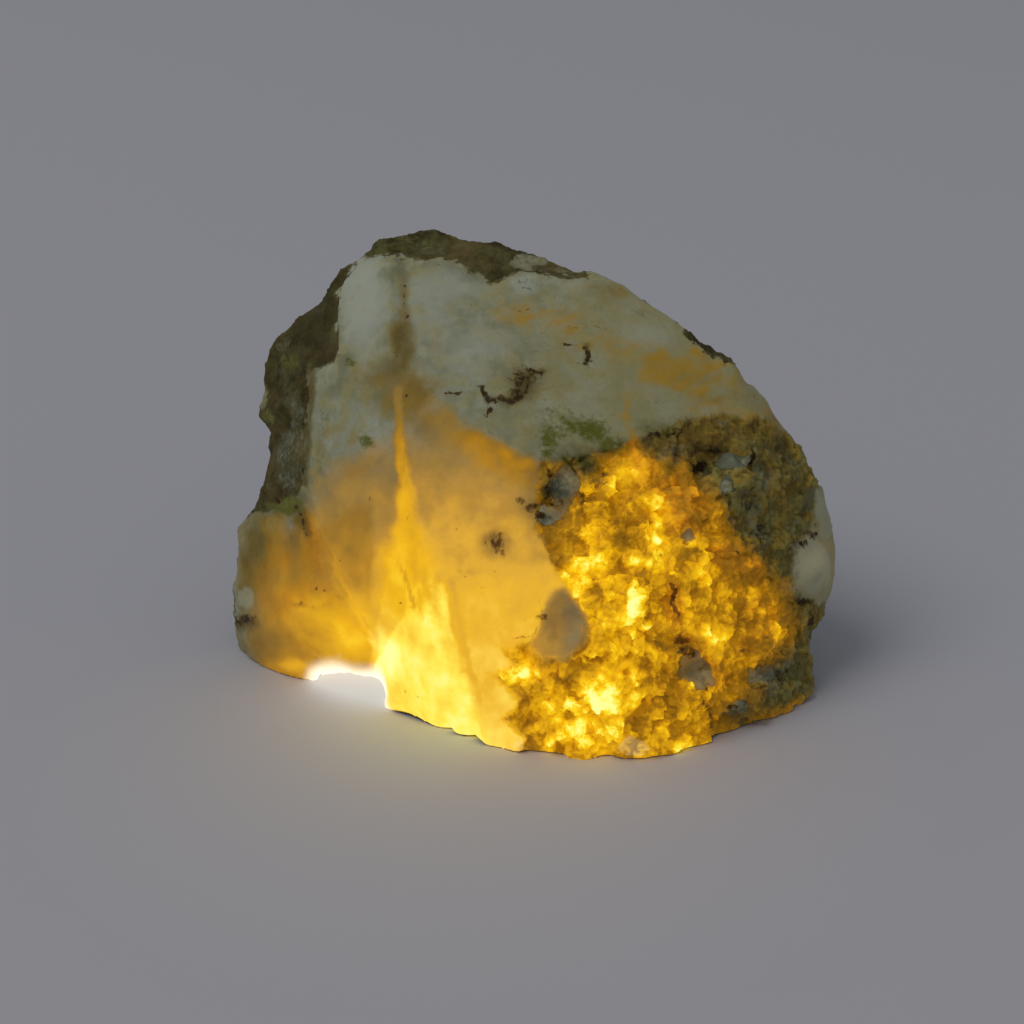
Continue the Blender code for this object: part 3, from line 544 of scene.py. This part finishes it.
def add_crumbs(shell, skin):
    """Angular crumbs of opal sunk into the crumbly corner."""
    pick = random.Random(11)
    tree = BVHTree.FromBMesh(skin)
    middle = Vector(FACE_MIDDLE)
    eye = (middle + FACE_OUT * VIEW_DISTANCE) * MM
    spots = [
        Vector((pick.uniform(-1, 37), pick.uniform(-30, 10.5))) for _ in range(CRUMB_COUNT * 2)]
    depth = ring_depth(np.array(spots), CRUMBLY)
    kept = [spot for spot, inside in zip(spots, depth) if inside > 0.2][:CRUMB_COUNT]
    for spot in kept:
        radius = CRUMB_RADIUS[0] + (CRUMB_RADIUS[1] - CRUMB_RADIUS[0]) * pick.random() ** 2
        sink = pick.uniform(0.1, 0.7)
        turn = Euler([pick.uniform(0, math.tau) for _ in range(3)]).to_matrix().to_4x4()
        stretch = Matrix.Diagonal((1, pick.uniform(0.6, 1), pick.uniform(0.5, 0.9), 1))
        aim = (middle + Vector((spot.x, 0, 0)) + FACE_RISE * spot.y) * MM - eye
        hit, normal, _, _ = tree.ray_cast(eye, aim.normalized())
        if hit is None:
            continue
        place = Matrix.Translation(hit - normal * radius * sink * MM)
        bmesh.ops.create_icosphere(
            shell, subdivisions=1, radius=radius * MM, matrix=place @ turn @ stretch)


def largest_body(mesh):
    """Keep the biggest closed skin, dropping stray specks and trapped bubbles."""
    edges = np.empty(len(mesh.edges) * 2, np.int64)
    mesh.edges.foreach_get("vertices", edges)
    edges = edges.reshape(-1, 2)
    label = np.arange(len(mesh.vertices))
    while True:
        low = np.minimum(label[edges[:, 0]], label[edges[:, 1]])
        new = label.copy()
        np.minimum.at(new, edges[:, 0], low)
        np.minimum.at(new, edges[:, 1], low)
        new = new[new]
        if np.array_equal(new, label):
            break
        label = new
    names, counts = np.unique(label, return_counts=True)
    stray = np.flatnonzero(label != names[counts.argmax()])
    if not len(stray):
        return
    shell = bmesh.new()
    shell.from_mesh(mesh)
    shell.verts.ensure_lookup_table()
    bmesh.ops.delete(shell, geom=[shell.verts[i] for i in stray], context="VERTS")
    shell.to_mesh(mesh)
    shell.free()


def fine_skin():
    """The solid's skin with its crumbs, remeshed fine."""
    shape = add_object("shape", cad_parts["rough_opal"].data.copy())
    shell = bmesh.new()
    shell.from_mesh(shape.data)
    bmesh.ops.remove_doubles(shell, verts=shell.verts, dist=0.001 * MM)
    shell.to_mesh(shape.data)
    rounder = shape.modifiers.new("Round the facets", "SUBSURF")
    rounder.levels = rounder.render_levels = 1
    shell.clear()
    shell.from_mesh(baked(shape))
    skin = shell.copy()
    add_crumbs(shell, skin)
    shell.to_mesh(shape.data)
    shell.free()
    skin.free()
    shape.modifiers.clear()
    remesh = shape.modifiers.new("Fine skin", "REMESH")
    remesh.mode = "VOXEL"
    remesh.voxel_size = FINE_VOXEL * MM
    soften = shape.modifiers.new("Soften", "SMOOTH")
    soften.factor = 0.5
    soften.iterations = 2
    mesh = baked(shape)
    bpy.data.objects.remove(shape)
    largest_body(mesh)
    return mesh


def wander(spots, points, size, amount):
    """Flat spots nudged about, so that outlines drawn on them turn ragged."""
    nudge = np.column_stack((grain(points, size, 3.0), grain(points, size, 9.0)))
    return spots + amount * nudge


def stroke_reach(spots, strokes):
    """Distance from each flat spot to the nearest stroke's edge, negative inside."""
    return np.min([line_reach(spots, line) - half for half, _, line in strokes], axis=0)


def patch_reach(spots, patches):
    """Distance from each flat spot to the nearest patch's edge, about right, negative inside."""
    best = np.full(len(spots), FAR)
    for patch, (reach, _) in zip(patches, ovals(spots, patches)):
        best = np.minimum(best, (reach - 1.0) * min(patch[2:4]))
    return best


def finer_marks(mesh):
    """Smaller faces where thin strokes and small spots are drawn."""
    for margin, marks_spots in ((0.40, True), (0.25, False)):
        places, normals = read_mesh(mesh)
        _, facing = facing_share(normals)
        spots = wander(flat_spots(places), places, 1.1, 0.22)
        near = stroke_reach(spots, UMBER_STROKES) < margin
        if marks_spots:
            near |= np.abs(patch_reach(spots, UMBER_SPOTS)) < margin * 0.7
        near &= facing > 0.5
        shell = bmesh.new()
        shell.from_mesh(mesh)
        shell.verts.ensure_lookup_table()
        edges = [e for e in shell.edges if near[e.verts[0].index] and near[e.verts[1].index]]
        bmesh.ops.subdivide_edges(shell, edges=edges, cuts=1, use_grid_fill=True)
        shell.to_mesh(mesh)
        shell.free()


def change_chosen(obj, chosen, kind, **settings):
    """Apply one modifier to the chosen vertices alone."""
    group = obj.vertex_groups.new(name="chosen")
    group.add([int(i) for i in np.flatnonzero(chosen)], 1.0, "REPLACE")
    change = obj.modifiers.new("Change", kind)
    change.vertex_group = group.name
    for name, value in settings.items():
        setattr(change, name, value)
    obj.data = baked(obj)
    obj.modifiers.clear()
    obj.vertex_groups.clear()


def thinned(obj, chosen, kept):
    """Fewer faces where the chosen vertices are, keeping a share of them."""
    change_chosen(obj, chosen, "DECIMATE", ratio=1.0 - chosen.mean() * (1.0 - kept))


def round_ridge(obj):
    """Wear the spur's sharp ridge round."""
    places, normals = read_mesh(obj.data)
    front, _ = facing_share(normals)
    near = (line_reach(flat_spots(places), SPUR_RIDGE) < 1.5) & (front > 0.2) & (places[:, 2] > 1.5)
    change_chosen(obj, near, "SMOOTH", factor=0.5, iterations=24)


def thin_plain_skin(obj):
    """Fewer faces behind, and on the smooth opal in front."""
    _, normals = read_mesh(obj.data)
    front, _ = facing_share(normals)
    thinned(obj, front < 0.0, BACK_KEPT)
    places, normals = read_mesh(obj.data)
    front, _ = facing_share(normals)
    spots = flat_spots(places)
    rings = [ring_depth(spots, ring) for ring in (CRUMBLY, TOP_BAND, DARK_FACET, LEFT_RIM)]
    thinned(obj, (front > 0.1) & (np.maximum.reduce(rings) < -1.0), SMOOTH_KEPT)


def break_up(mesh):
    """Chips, chunks and grit on the fine skin, the masks of its minerals, and masks of painted glow
    and painted shade.
    """
    places, normals = read_mesh(mesh)
    spots = flat_spots(places)
    ragged = wander(spots, places, 2.2, 0.55)
    near = wander(spots, places, 1.1, 0.22)
    front, facing = facing_share(normals)
    up = spots[:, 1]

    recess = ring_depth(ragged, GREY_RECESS)
    crumble = np.where(facing > 0.02, np.minimum(ring_depth(ragged, CRUMBLY), -recess), OUTSIDE)
    crumbly = soft_step(-0.4, 0.6, crumble) * facing
    olive = np.where(facing > 0.02, ring_depth(ragged, OLIVE_CORNER), OUTSIDE)
    rings = [ring_depth(ragged, ring) for ring in (TOP_BAND, DARK_FACET, LEFT_RIM, EDGE_BAND)]
    crust = np.clip(np.maximum.reduce(rings), -3.0, 3.0)
    # The dark facet turned to the left, and the left rim at half strength: the material darkens
    # their crust further as painted shade, and the crust's bumps are calmer there.
    facet_in_shade = facing * np.maximum(
        soft_step(-0.4, 1.0, rings[1]), 0.5 * soft_step(-0.4, 1.0, rings[2]))
    behind = 1.3 + 2.2 * grain(places, 11.0, 20.0)
    crust = crust * facing + np.clip(behind, -1.5, 2.0) * (1 - facing)
    turned = np.clip(6.0 * (0.55 - facing), -3.0, 1.5)
    crust = np.where(crumble > -0.3, np.maximum(crust, turned), crust)
    crust -= patch_sum(spots, WORN_RIM) * soft_step(-0.15, 0.1, front)
    crusty = soft_step(-0.2, 0.4, crust) * (1 - crumbly)
    still = facing * soft_step(0.4, 0.9, np.maximum(
        patch_mask(ragged, SLATE_PATCHES), patch_mask(ragged, PALE_LUMPS)))

    coarse, coarse_tone, coarse_slope = chunks(places, 2.3)
    small, _, small_slope = chunks(places, 1.0)
    craggy = grain(places, 3.2, 5.0)
    rough = grain(places, 1.2, 7.0)
    grit = grain(places, 0.5, 2.0)
    crumbs = 0.42 * coarse * (0.2 + 0.8 * coarse_tone) + 0.24 * (small - 0.6)
    crumbs += 0.70 * coarse_slope + 0.60 * small_slope
    crumbs += 0.34 * craggy + 0.14 * rough + 0.08 * grit
    calm = soft_step(-0.5, 1.5, olive)
    crumbs += calm * (0.16 * grit - 0.45 * crumbs)
    height = crumbly * (1 - 0.7 * still) * (crumbs - 0.12)
    bumps = 0.10 * (small - 0.6) + (0.30 - 0.12 * facing) * rough + 0.12 * craggy + 0.06 * grit
    height += crusty * (1 - 0.8 * still) * (1 - 0.6 * facet_in_shade) * bumps
    height += (1 - crumbly) * (1 - crusty) * (0.06 * rough + 0.10 * craggy)

    foot = soft_step(0.15, 0.9, places[:, 2])
    moved = places + normals * (height * foot)[:, None]
    lift = np.interp(spots[:, 0], *CORNER_LIFT) * soft_step(5.0, 0.0, places[:, 2])
    lift *= soft_step(2.0, -1.0, places[:, 1] + 14.0)
    low, high = np.array(cad_box) / MM
    moved = np.clip(moved, low - BOX_SLACK, high + BOX_SLACK)
    moved[:, 2] = np.where(places[:, 2] < 0.12, 0.0, np.maximum(moved[:, 2], 0.0)) + lift
    write_places(mesh, moved)

    hollow = np.clip(0.42 - 0.9 * height, 0.0, 1.0)
    hollow = hollow + 0.35 * (1 - small) * crumbly * (1 - 0.6 * calm)
    umber = np.maximum(stroke_mask(near, UMBER_STROKES), patch_mask(near, UMBER_SPOTS, 0.7))
    pit = soft_step(-0.3, 0.3, ring_depth(ragged, DARK_PIT))
    stain = np.maximum(
        stroke_mask(near, STAIN_STROKES, 2.2), patch_mask(ragged, STAIN_PATCHES, 0.9))
    slanted = spots @ np.array(((0.25, -0.34), (0.09, 0.94)))
    banding = grain(np.column_stack((slanted, 0.0 * up)), 0.9, 21.0)
    rust = stroke_mask(ragged, RUST_STROKES, 2.0) * (1 + 1.1 * banding * soft_step(8.0, 11.0, up))
    shown = {
        "umber": umber, "stain": stain, "rust": rust,
        "moss": patch_mask(spots, MOSS_PATCHES, 0.8),
        "ochre": patch_mask(ragged, OCHRE_PATCHES, 0.8),
        "slate": np.maximum(patch_mask(ragged, SLATE_PATCHES, 0.3), pit),
        "pale": patch_mask(ragged, PALE_LUMPS, 0.3),
        "white": patch_mask(ragged, WHITE_PATCHES, 0.7),
    }
    for name, mask in shown.items():
        store(mesh, name, mask * facing)
    lumps = 0.5 * (coarse_tone - 0.5) + height
    away = soft_step(-0.1, -0.5, front)
    glow, milky, hot = painted_lamp_glow(places, spots, ragged, away, crumbly, crusty, olive, lumps)
    warmth = soft_step(-12.0, 24.0, spots[:, 0] + 2.0 * grain(places, 6.0, 8.0))
    whole = {
        "facet_in_shade": facet_in_shade, "crumble": crumble, "crust": crust, "away": away,
        "hollow": np.clip(hollow, 0.0, 1.0), "glow": glow, "milky": milky, "hot": hot,
        "warmth": warmth * facing,
    }
    for name, mask in whole.items():
        store(mesh, name, mask)


def painted_lamp_glow(places, spots, ragged, away, crumbly, crusty, olive, lumps):
    """How strongly the painted glow of lamplight from below shows, and how milky the opal is where
    it does.
    """
    up = spots[:, 1]
    half = 0.5 * (spots + ragged)
    tent = soft_step(-0.5, 0.9, ring_depth(half, TENT))
    left = soft_step(-1.6, 4.4, ring_depth(spots, LEFT_LIT))
    smooth = np.maximum(tent * np.interp(up, *TENT_LIGHT), left * np.interp(up, *LEFT_LIGHT))
    spur = soft_step(-0.35, 0.35, ring_depth(half, SPUR))
    inland = soft_step(-32.0, -26.5, spots[:, 0] + 0.8 * grain(places, 3.0, 15.0))
    shade = soft_step(-0.6, 0.9, ring_depth(half, SHADED_FACET))
    smooth -= 0.05 * shade * soft_step(-10.0, -3.0, up)
    smooth = smooth * (1 - spur) + spur * left * inland * np.interp(up, *SPUR_LIGHT)
    vein = stroke_mask(half, [(w * 1.4, s, line) for w, s, line in VEIN])
    edge = stroke_mask(half, [(w * 1.5, s, line) for w, s, line in TENT_EDGE])
    smooth += vein * np.maximum(np.interp(up, *VEIN_LIGHT) - smooth, 0.0)
    edge *= 0.6 + 0.4 * soft_step(-10.0, -2.0, spots[:, 0]) + 0.3 * grain(places, 1.6, 13.0)
    smooth += edge * np.maximum(np.interp(up, *EDGE_LIGHT) - smooth, 0.0)
    wedge = soft_step(-0.35, 0.9, ring_depth(half, WEDGE))
    smooth = np.maximum(smooth, wedge * np.interp(up, *WEDGE_LIGHT))
    smooth += 0.07 * soft_step(-0.3, 1.2, ring_depth(half, FLAME))
    x, y, z = places.T
    wisps = np.column_stack((x * 2.6 + z * 0.5, y, z * 0.6))
    streaks = (0.015 + 0.055 * wedge) * grain(wisps, 3.0, 6.0) + 0.04 * grain(places, 3.4, 4.0)
    smooth += streaks * soft_step(0.05, 0.5, smooth)

    crumbs = 0.80 - 0.012 * np.abs(spots[:, 0] - 11.0) + 0.08 * soft_step(4.0, -22.0, up)
    # Painted shading of the relief: the glow is brighter on the crumbs' tops and dimmer in their
    # cracks.
    crumbs += 0.26 * lumps + 0.10 * grain(places, 3.5, 12.0)
    crumbs += facet_sum(ragged, CLEAR_FACETS)
    crumbs = np.maximum(crumbs, 0.52 + 0.25 * (crumbs - 0.52))
    crumbs *= soft_step(2.4, -2.4, olive)

    face = smooth * (1 - crumbly) + crumbs * crumbly
    dimmed = 0.42 + 0.32 * soft_step(2.4, 7.5, spots[:, 0]) + 0.10 * grain(places, 1.8, 17.0)
    face *= 1 - dimmed * soft_step(-0.5, 0.7, ring_depth(ragged, GREY_RECESS))
    face = (face + patch_sum(spots, CORES)) * patch_keep(spots, DULL)
    face *= 1 - 0.95 * crusty

    # Painted glow on the sides turned away, fading with distance from a spot under the stone.
    reach = np.linalg.norm(places - np.array((1.0, 1.0, -4.0)), axis=1)
    around = 0.60 * np.exp(-np.maximum(reach - 17.0, 0.0) / 11.0) * (1 - 0.8 * crusty)
    glow = face * (1 - away) + around * away
    # Painted lamp glare round the notch.
    notch = np.linalg.norm(places - NOTCH_MIDDLE, axis=1)
    glow = np.maximum(glow, FULL_GLOW * soft_step(9.0, 5.8, notch))

    clear = np.maximum.reduce((vein, edge, 0.55 * wedge, 0.9 * spur, 0.7 * shade))
    milky = (1 - crumbly) * (1 - 0.8 * clear)
    return np.clip(glow, 0.0, FULL_GLOW), milky, soft_step(8.2, 6.2, notch)


def set_sockets(node, values):
    for name, value in values.items():
        node.inputs[name].default_value = value


class Nodes:
    """Short hands for making and joining shader nodes in one tree."""

    def __init__(self, tree):
        self.tree = tree

    def add(self, kind, **settings):
        node = self.tree.nodes.new(kind)
        for name, value in settings.items():
            setattr(node, name, value)
        return node

    def join(self, value, socket):
        if isinstance(value, bpy.types.NodeSocket):
            self.tree.links.new(value, socket)
        else:
            socket.default_value = value

    def read(self, name):
        return self.add("ShaderNodeAttribute", attribute_name=name).outputs["Fac"]

    def math(self, operation, *values, clamp=False):
        node = self.add("ShaderNodeMath", operation=operation, use_clamp=clamp)
        for value, socket in zip(values, node.inputs):
            self.join(value, socket)
        return node.outputs[0]

    def step(self, low, high, value):
        node = self.add("ShaderNodeMapRange", interpolation_type="SMOOTHSTEP")
        self.join(value, node.inputs["Value"])
        set_sockets(node, {"From Min": low, "From Max": high})
        return node.outputs["Result"]

    def mix(self, share, first, second):
        node = self.add("ShaderNodeMix", data_type="RGBA")
        self.join(share, node.inputs["Factor"])
        for value, socket in ((first, node.inputs["A"]), (second, node.inputs["B"])):
            self.join((*value, 1.0) if isinstance(value, tuple) else value, socket)
        return node.outputs["Result"]

    def coats(self, base, *layers):
        """Layers of (mask, share, colour), each laid over what is below where its mask is."""
        for mask, share, colour in layers:
            base = self.mix(self.math("MULTIPLY", mask, share), base, colour)
        return base

    def mottling(self, *weighed):
        """Tones of 0 to 1, each with its weight, summed to lie about zero."""
        total = -0.5 * sum(share for _, share in weighed)
        for tones, share in weighed:
            total = self.math("MULTIPLY_ADD", tones, share, total)
        return total

    def noise(self, place, size, detail=3.0, roughness=0.55):
        """Noise of 0 to 1 with lumps of a size in mm."""
        node = self.add("ShaderNodeTexNoise")
        self.join(place, node.inputs["Vector"])
        set_sockets(node, {"Scale": 1.0 / (size * MM), "Detail": detail, "Roughness": roughness})
        return node.outputs["Fac"]

    def nudged(self, place, size, amount):
        """A place pushed about by noise, so that cells drawn on it have ragged edges."""
        push = self.noise(place, size).node.outputs["Color"]
        node = self.add("ShaderNodeVectorMath", operation="MULTIPLY_ADD")
        self.join(push, node.inputs[0])
        node.inputs[1].default_value = (amount * MM,) * 3
        self.join(place, node.inputs[2])
        return node.outputs["Vector"]

    def cells(self, place, size):
        """A tone of 0 to 1 for each grain of a size in mm."""
        node = self.add("ShaderNodeTexVoronoi")
        self.join(place, node.inputs["Vector"])
        node.inputs["Scale"].default_value = 1.0 / (size * MM)
        return node.outputs["Color"]

    def ramp(self, value, stops):
        node = self.add("ShaderNodeValToRGB")
        self.join(value, node.inputs["Fac"])
        points = node.color_ramp.elements
        while len(points) < len(stops):
            points.new(0.5)
        for point, (place, colour) in zip(points, stops):
            point.position = place
            point.color = (*colour, 1.0)
        return node.outputs["Color"]


def opal_material():
    """Milky and amber opal, crumbs, stains and crust, chosen by the skin's masks, with painted glow
    and painted shade.
    """
    material = bpy.data.materials.new("opal_and_crust")
    material.use_nodes = True
    tree = material.node_tree
    make = Nodes(tree)
    shader = tree.nodes["Principled BSDF"]
    place = make.add("ShaderNodeTexCoord").outputs["Object"]
    broad = make.noise(place, 6.0, 3.0)
    middling = make.noise(place, 2.0, 4.0)
    cloud = make.noise(place, 3.1, 5.0, 0.6)
    fine = make.noise(place, 0.6, 4.0, 0.65)
    specks = make.noise(place, 0.25, 2.0)
    grains = make.cells(place, 0.42)
    chips = make.cells(make.nudged(place, 0.8, 0.9), 1.3)
    blocks = make.cells(make.nudged(place, 2.0, 2.2), 3.4)

    half_fine = make.math("MULTIPLY", fine, 0.5)

    def ragged(name, amount, low, high, by=fine):
        wobble = make.math("MULTIPLY_ADD", by, amount, -0.5 * amount)
        return make.step(low, high, make.math("ADD", make.read(name), wobble))

    crumbly = ragged("crumble", 1.6, -0.25, 0.35)
    crusty = ragged("crust", 1.6, -0.2, 0.2)
    umber = ragged("umber", 1.9, 0.22, 1.0)
    moss = ragged("moss", 2.4, 0.34, 0.95, make.math("MULTIPLY_ADD", cloud, 0.5, half_fine))
    ochre = ragged("ochre", 0.8, 0.0, 1.0, middling)
    rust = ragged("rust", 1.1, 0.0, 1.2, middling)
    stain = ragged("stain", 0.9, 0.0, 1.1, middling)
    slate = ragged("slate", 1.5, 0.25, 0.95)
    rim = make.math("SUBTRACT", make.step(0.0, 0.35, slate), make.step(0.3, 0.9, slate))
    rim = make.math("MULTIPLY", rim, make.step(0.42, 0.56, middling))
    pale = ragged("pale", 0.5, 0.25, 0.75)
    white = ragged("white", 0.7, 0.0, 1.0, middling)
    hollow = make.read("hollow")
    glow = make.read("glow")

    milk = make.mix(make.step(0.38, 0.62, broad), MILK, SEA_GREY)
    milk = make.coats(
        milk,
        (make.step(0.42, 0.60, middling), 0.7, CREAM),
        (make.step(0.50, 0.66, cloud), 0.4, PURE_MILK),
        (make.read("warmth"), 0.8, CREAM),
        (make.step(0.50, 0.70, fine), 0.35, SEA_GREY),
        (white, 0.8, PURE_MILK),
    )
    # The body turns amber where the painted glow is: partly the opal's own colour, partly painted
    # lamplight.
    amber = make.mix(make.read("milky"), HONEY_BODY, PEACH_BODY)
    body = make.mix(make.step(0.02, 0.34, glow), milk, amber)
    earth = make.mix(make.step(0.40, 0.60, middling), OLIVE_EARTH, GREEN_EARTH)
    earth = make.coats(
        earth,
        (make.step(0.50, 0.66, cloud), 0.6, SLATE_PALE),
        (make.step(0.56, 0.72, fine), 0.60, UMBER),
    )
    # The crumbs turn honey-coloured where the painted glow is: partly their own colour, partly
    # painted lamplight.
    crumbs = make.mix(make.step(0.06, 0.36, glow), earth, HONEY_BODY)
    body = make.mix(crumbly, body, crumbs)
    body = make.mix(ochre, body, OCHRE)
    body = make.coats(body, (rust, 0.8, RUST))
    body = make.mix(stain, body, OLIVE_STAIN)
    body = make.mix(slate, body, make.mix(make.step(0.34, 0.68, cloud), SLATE, SLATE_PALE))
    body = make.coats(body, (rim, 0.8, UMBER))
    body = make.mix(moss, body, MOSS)
    crust = make.mix(make.step(0.36, 0.62, middling), CRUST_DARK, CRUST_OLIVE)
    crust = make.coats(
        crust,
        (make.step(0.50, 0.72, cloud), 0.45, CRUST_PALE),
        (make.step(0.46, 0.66, broad), 0.45, CRUST_OCHRE),
        # Painted light: the crust turned away from the broad face is lightened, in place of a lamp
        # behind.
        (make.read("away"), 0.22, CRUST_PALE),
        # Painted shade on the dark facet turned to the left, and on the left rim.
        (make.read("facet_in_shade"), 0.65, CRUST_DARK),
        (make.step(0.48, 0.75, fine), 0.45, CRUST_DARK),
        (moss, 0.8, CRUST_MOSS),
    )
    shown_crust = make.math("MULTIPLY", crusty, make.math("MULTIPLY_ADD", slate, -0.85, 1.0))
    body = make.mix(shown_crust, body, crust)
    body = make.mix(pale, body, PALE_JADE)
    body = make.mix(make.step(0.0, 0.6, umber), body, BROWN)
    body = make.mix(make.step(0.5, 1.0, umber), body, UMBER)
    # Painted shade: the earthy crumbs and the crust are darkened in their hollows.
    earthy = make.math("MULTIPLY", crumbly, make.step(0.35, 0.1, glow))
    hollow_shade = make.math("MULTIPLY", make.step(0.3, 0.8, hollow), make.math("MAXIMUM", earthy, crusty))
    body = make.coats(body, (hollow_shade, 0.45, UMBER))
    make.join(body, shader.inputs["Base Color"])

    # From here on the emission is painted glow, standing in for a lamp beneath the stone.
    sugar = make.mottling((fine, 0.34), (grains, 0.12), (chips, 0.24), (blocks, 0.26))
    sugar = make.math("MULTIPLY", sugar, crumbly)
    soft = make.mottling((middling, 0.22), (cloud, 0.24), (broad, 0.24))
    live = make.math("ADD", make.math("ADD", glow, sugar), soft)
    live = make.math("MULTIPLY", live, make.step(0.0, 0.14, glow))
    # Painted shade: the glow dips in the crumbly corner's hollows.
    dip = make.math("MULTIPLY", make.math("MULTIPLY", hollow, crumbly), 0.12)
    live = make.math("SUBTRACT", live, dip)
    for mask, share in ((moss, 0.6), (slate, 0.5), (shown_crust, 0.8), (ochre, 0.1), (rim, 0.4),
                        (stain, 0.35)):
        live = make.math("MULTIPLY", live, make.math("MULTIPLY_ADD", mask, -share, 1.0))
    live = make.math("DIVIDE", live, FULL_GLOW, clamp=True)
    clear = make.ramp(live, CLEAR_GLOW)
    milky = make.ramp(live, MILKY_GLOW)
    light = make.mix(make.read("milky"), clear, milky)
    ember = make.mix(make.step(0.15, 0.6, live), (0.0, 0.0, 0.0), EMBER)
    light = make.mix(rust, light, make.ramp(live, ORANGE_GLOW))
    light = make.mix(make.math("MULTIPLY", umber, 0.9), light, ember)
    # Painted lamp glare round the notch by the foot.
    light = make.mix(make.read("hot"), light, WHITE_HOT)
    make.join(light, shader.inputs["Emission Color"])

    rough = make.math("MULTIPLY_ADD", crumbly, 0.14, 0.36)
    rough = make.math("MULTIPLY_ADD", crusty, 0.4, rough)
    rough = make.math("MULTIPLY_ADD", middling, 0.15, rough)
    make.join(rough, shader.inputs["Roughness"])

    heights = make.math("MULTIPLY", fine, make.math("MAXIMUM", crumbly, crusty))
    heights = make.math("MULTIPLY_ADD", middling, 0.3, heights)
    heights = make.math("MULTIPLY_ADD", specks, 0.3, heights)
    bump = make.add("ShaderNodeBump")
    set_sockets(bump, {"Strength": 0.55, "Distance": 0.28 * MM})
    make.join(heights, bump.inputs["Height"])
    make.join(bump.outputs["Normal"], shader.inputs["Normal"])

    set_sockets(shader, {
        "Metallic": 0.0, "IOR": 1.45, "Specular IOR Level": 0.22, "Subsurface Weight": 0.2,
        "Subsurface Radius": (1.0, 0.7, 0.4), "Subsurface Scale": 0.8 * MM,
        "Emission Strength": 1.0,
    })
    material.cycles.emission_sampling = "NONE"
    return material


def dress_lump():
    lump = add_object("opal_lump", fine_skin())
    round_ridge(lump)
    thin_plain_skin(lump)
    finer_marks(lump.data)
    break_up(lump.data)
    lump.data.name = "opal_lump"
    lump.data.materials.clear()
    lump.data.materials.append(opal_material())
    lump.data.shade_smooth()
    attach(lump, "root")
    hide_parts("rough_opal")


def pale_floor():
    shell = bmesh.new()
    bmesh.ops.create_grid(shell, x_segments=1, y_segments=1, size=12.0)
    mesh = bpy.data.meshes.new("floor")
    shell.to_mesh(mesh)
    shell.free()
    floor = add_object("floor", mesh)
    material = bpy.data.materials.new("pale_sheet")
    material.use_nodes = True
    shader = material.node_tree.nodes["Principled BSDF"]
    set_sockets(shader, {"Base Color": (0.64, 0.645, 0.70, 1.0), "Roughness": 0.9})
    mesh.materials.append(material)


def soft_light(name, place, size, power, colour):
    lamp = bpy.data.lights.new(name, "AREA")
    lamp.shape = "DISK"
    lamp.size = size
    lamp.energy = power
    lamp.color = colour
    holder = bpy.data.objects.new(name, lamp)
    bpy.context.scene.collection.objects.link(holder)
    holder.location = place
    holder.rotation_mode = "QUATERNION"
    holder.rotation_quaternion = (Vector((0, 0, 0.02)) - Vector(place)).to_track_quat("-Z", "Y")


def studio():
    scene = bpy.context.scene
    scene.view_settings.view_transform = "Standard"
    world = bpy.data.worlds.new("soft_room")
    world.use_nodes = True
    sky = world.node_tree.nodes["Background"]
    set_sockets(sky, {"Color": (0.92, 0.94, 1.0, 1.0), "Strength": 0.20})
    scene.world = world
    soft_light("key", (-1.3, -0.8, 2.2), 1.6, 15.0, (1.0, 0.98, 0.95))

    camera = bpy.data.cameras.new("camera")
    camera.sensor_width = SENSOR_WIDTH
    camera.lens = LENS
    eye = bpy.data.objects.new("camera", camera)
    scene.collection.objects.link(eye)
    eye.location = (Vector(FACE_MIDDLE) + FACE_OUT * VIEW_DISTANCE) * MM
    eye.rotation_mode = "QUATERNION"
    eye.rotation_quaternion = (-FACE_OUT).to_track_quat("-Z", "Y")
    scene.camera = eye


cad_box = [list(corner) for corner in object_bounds()]
dress_lump()
pale_floor()
studio()
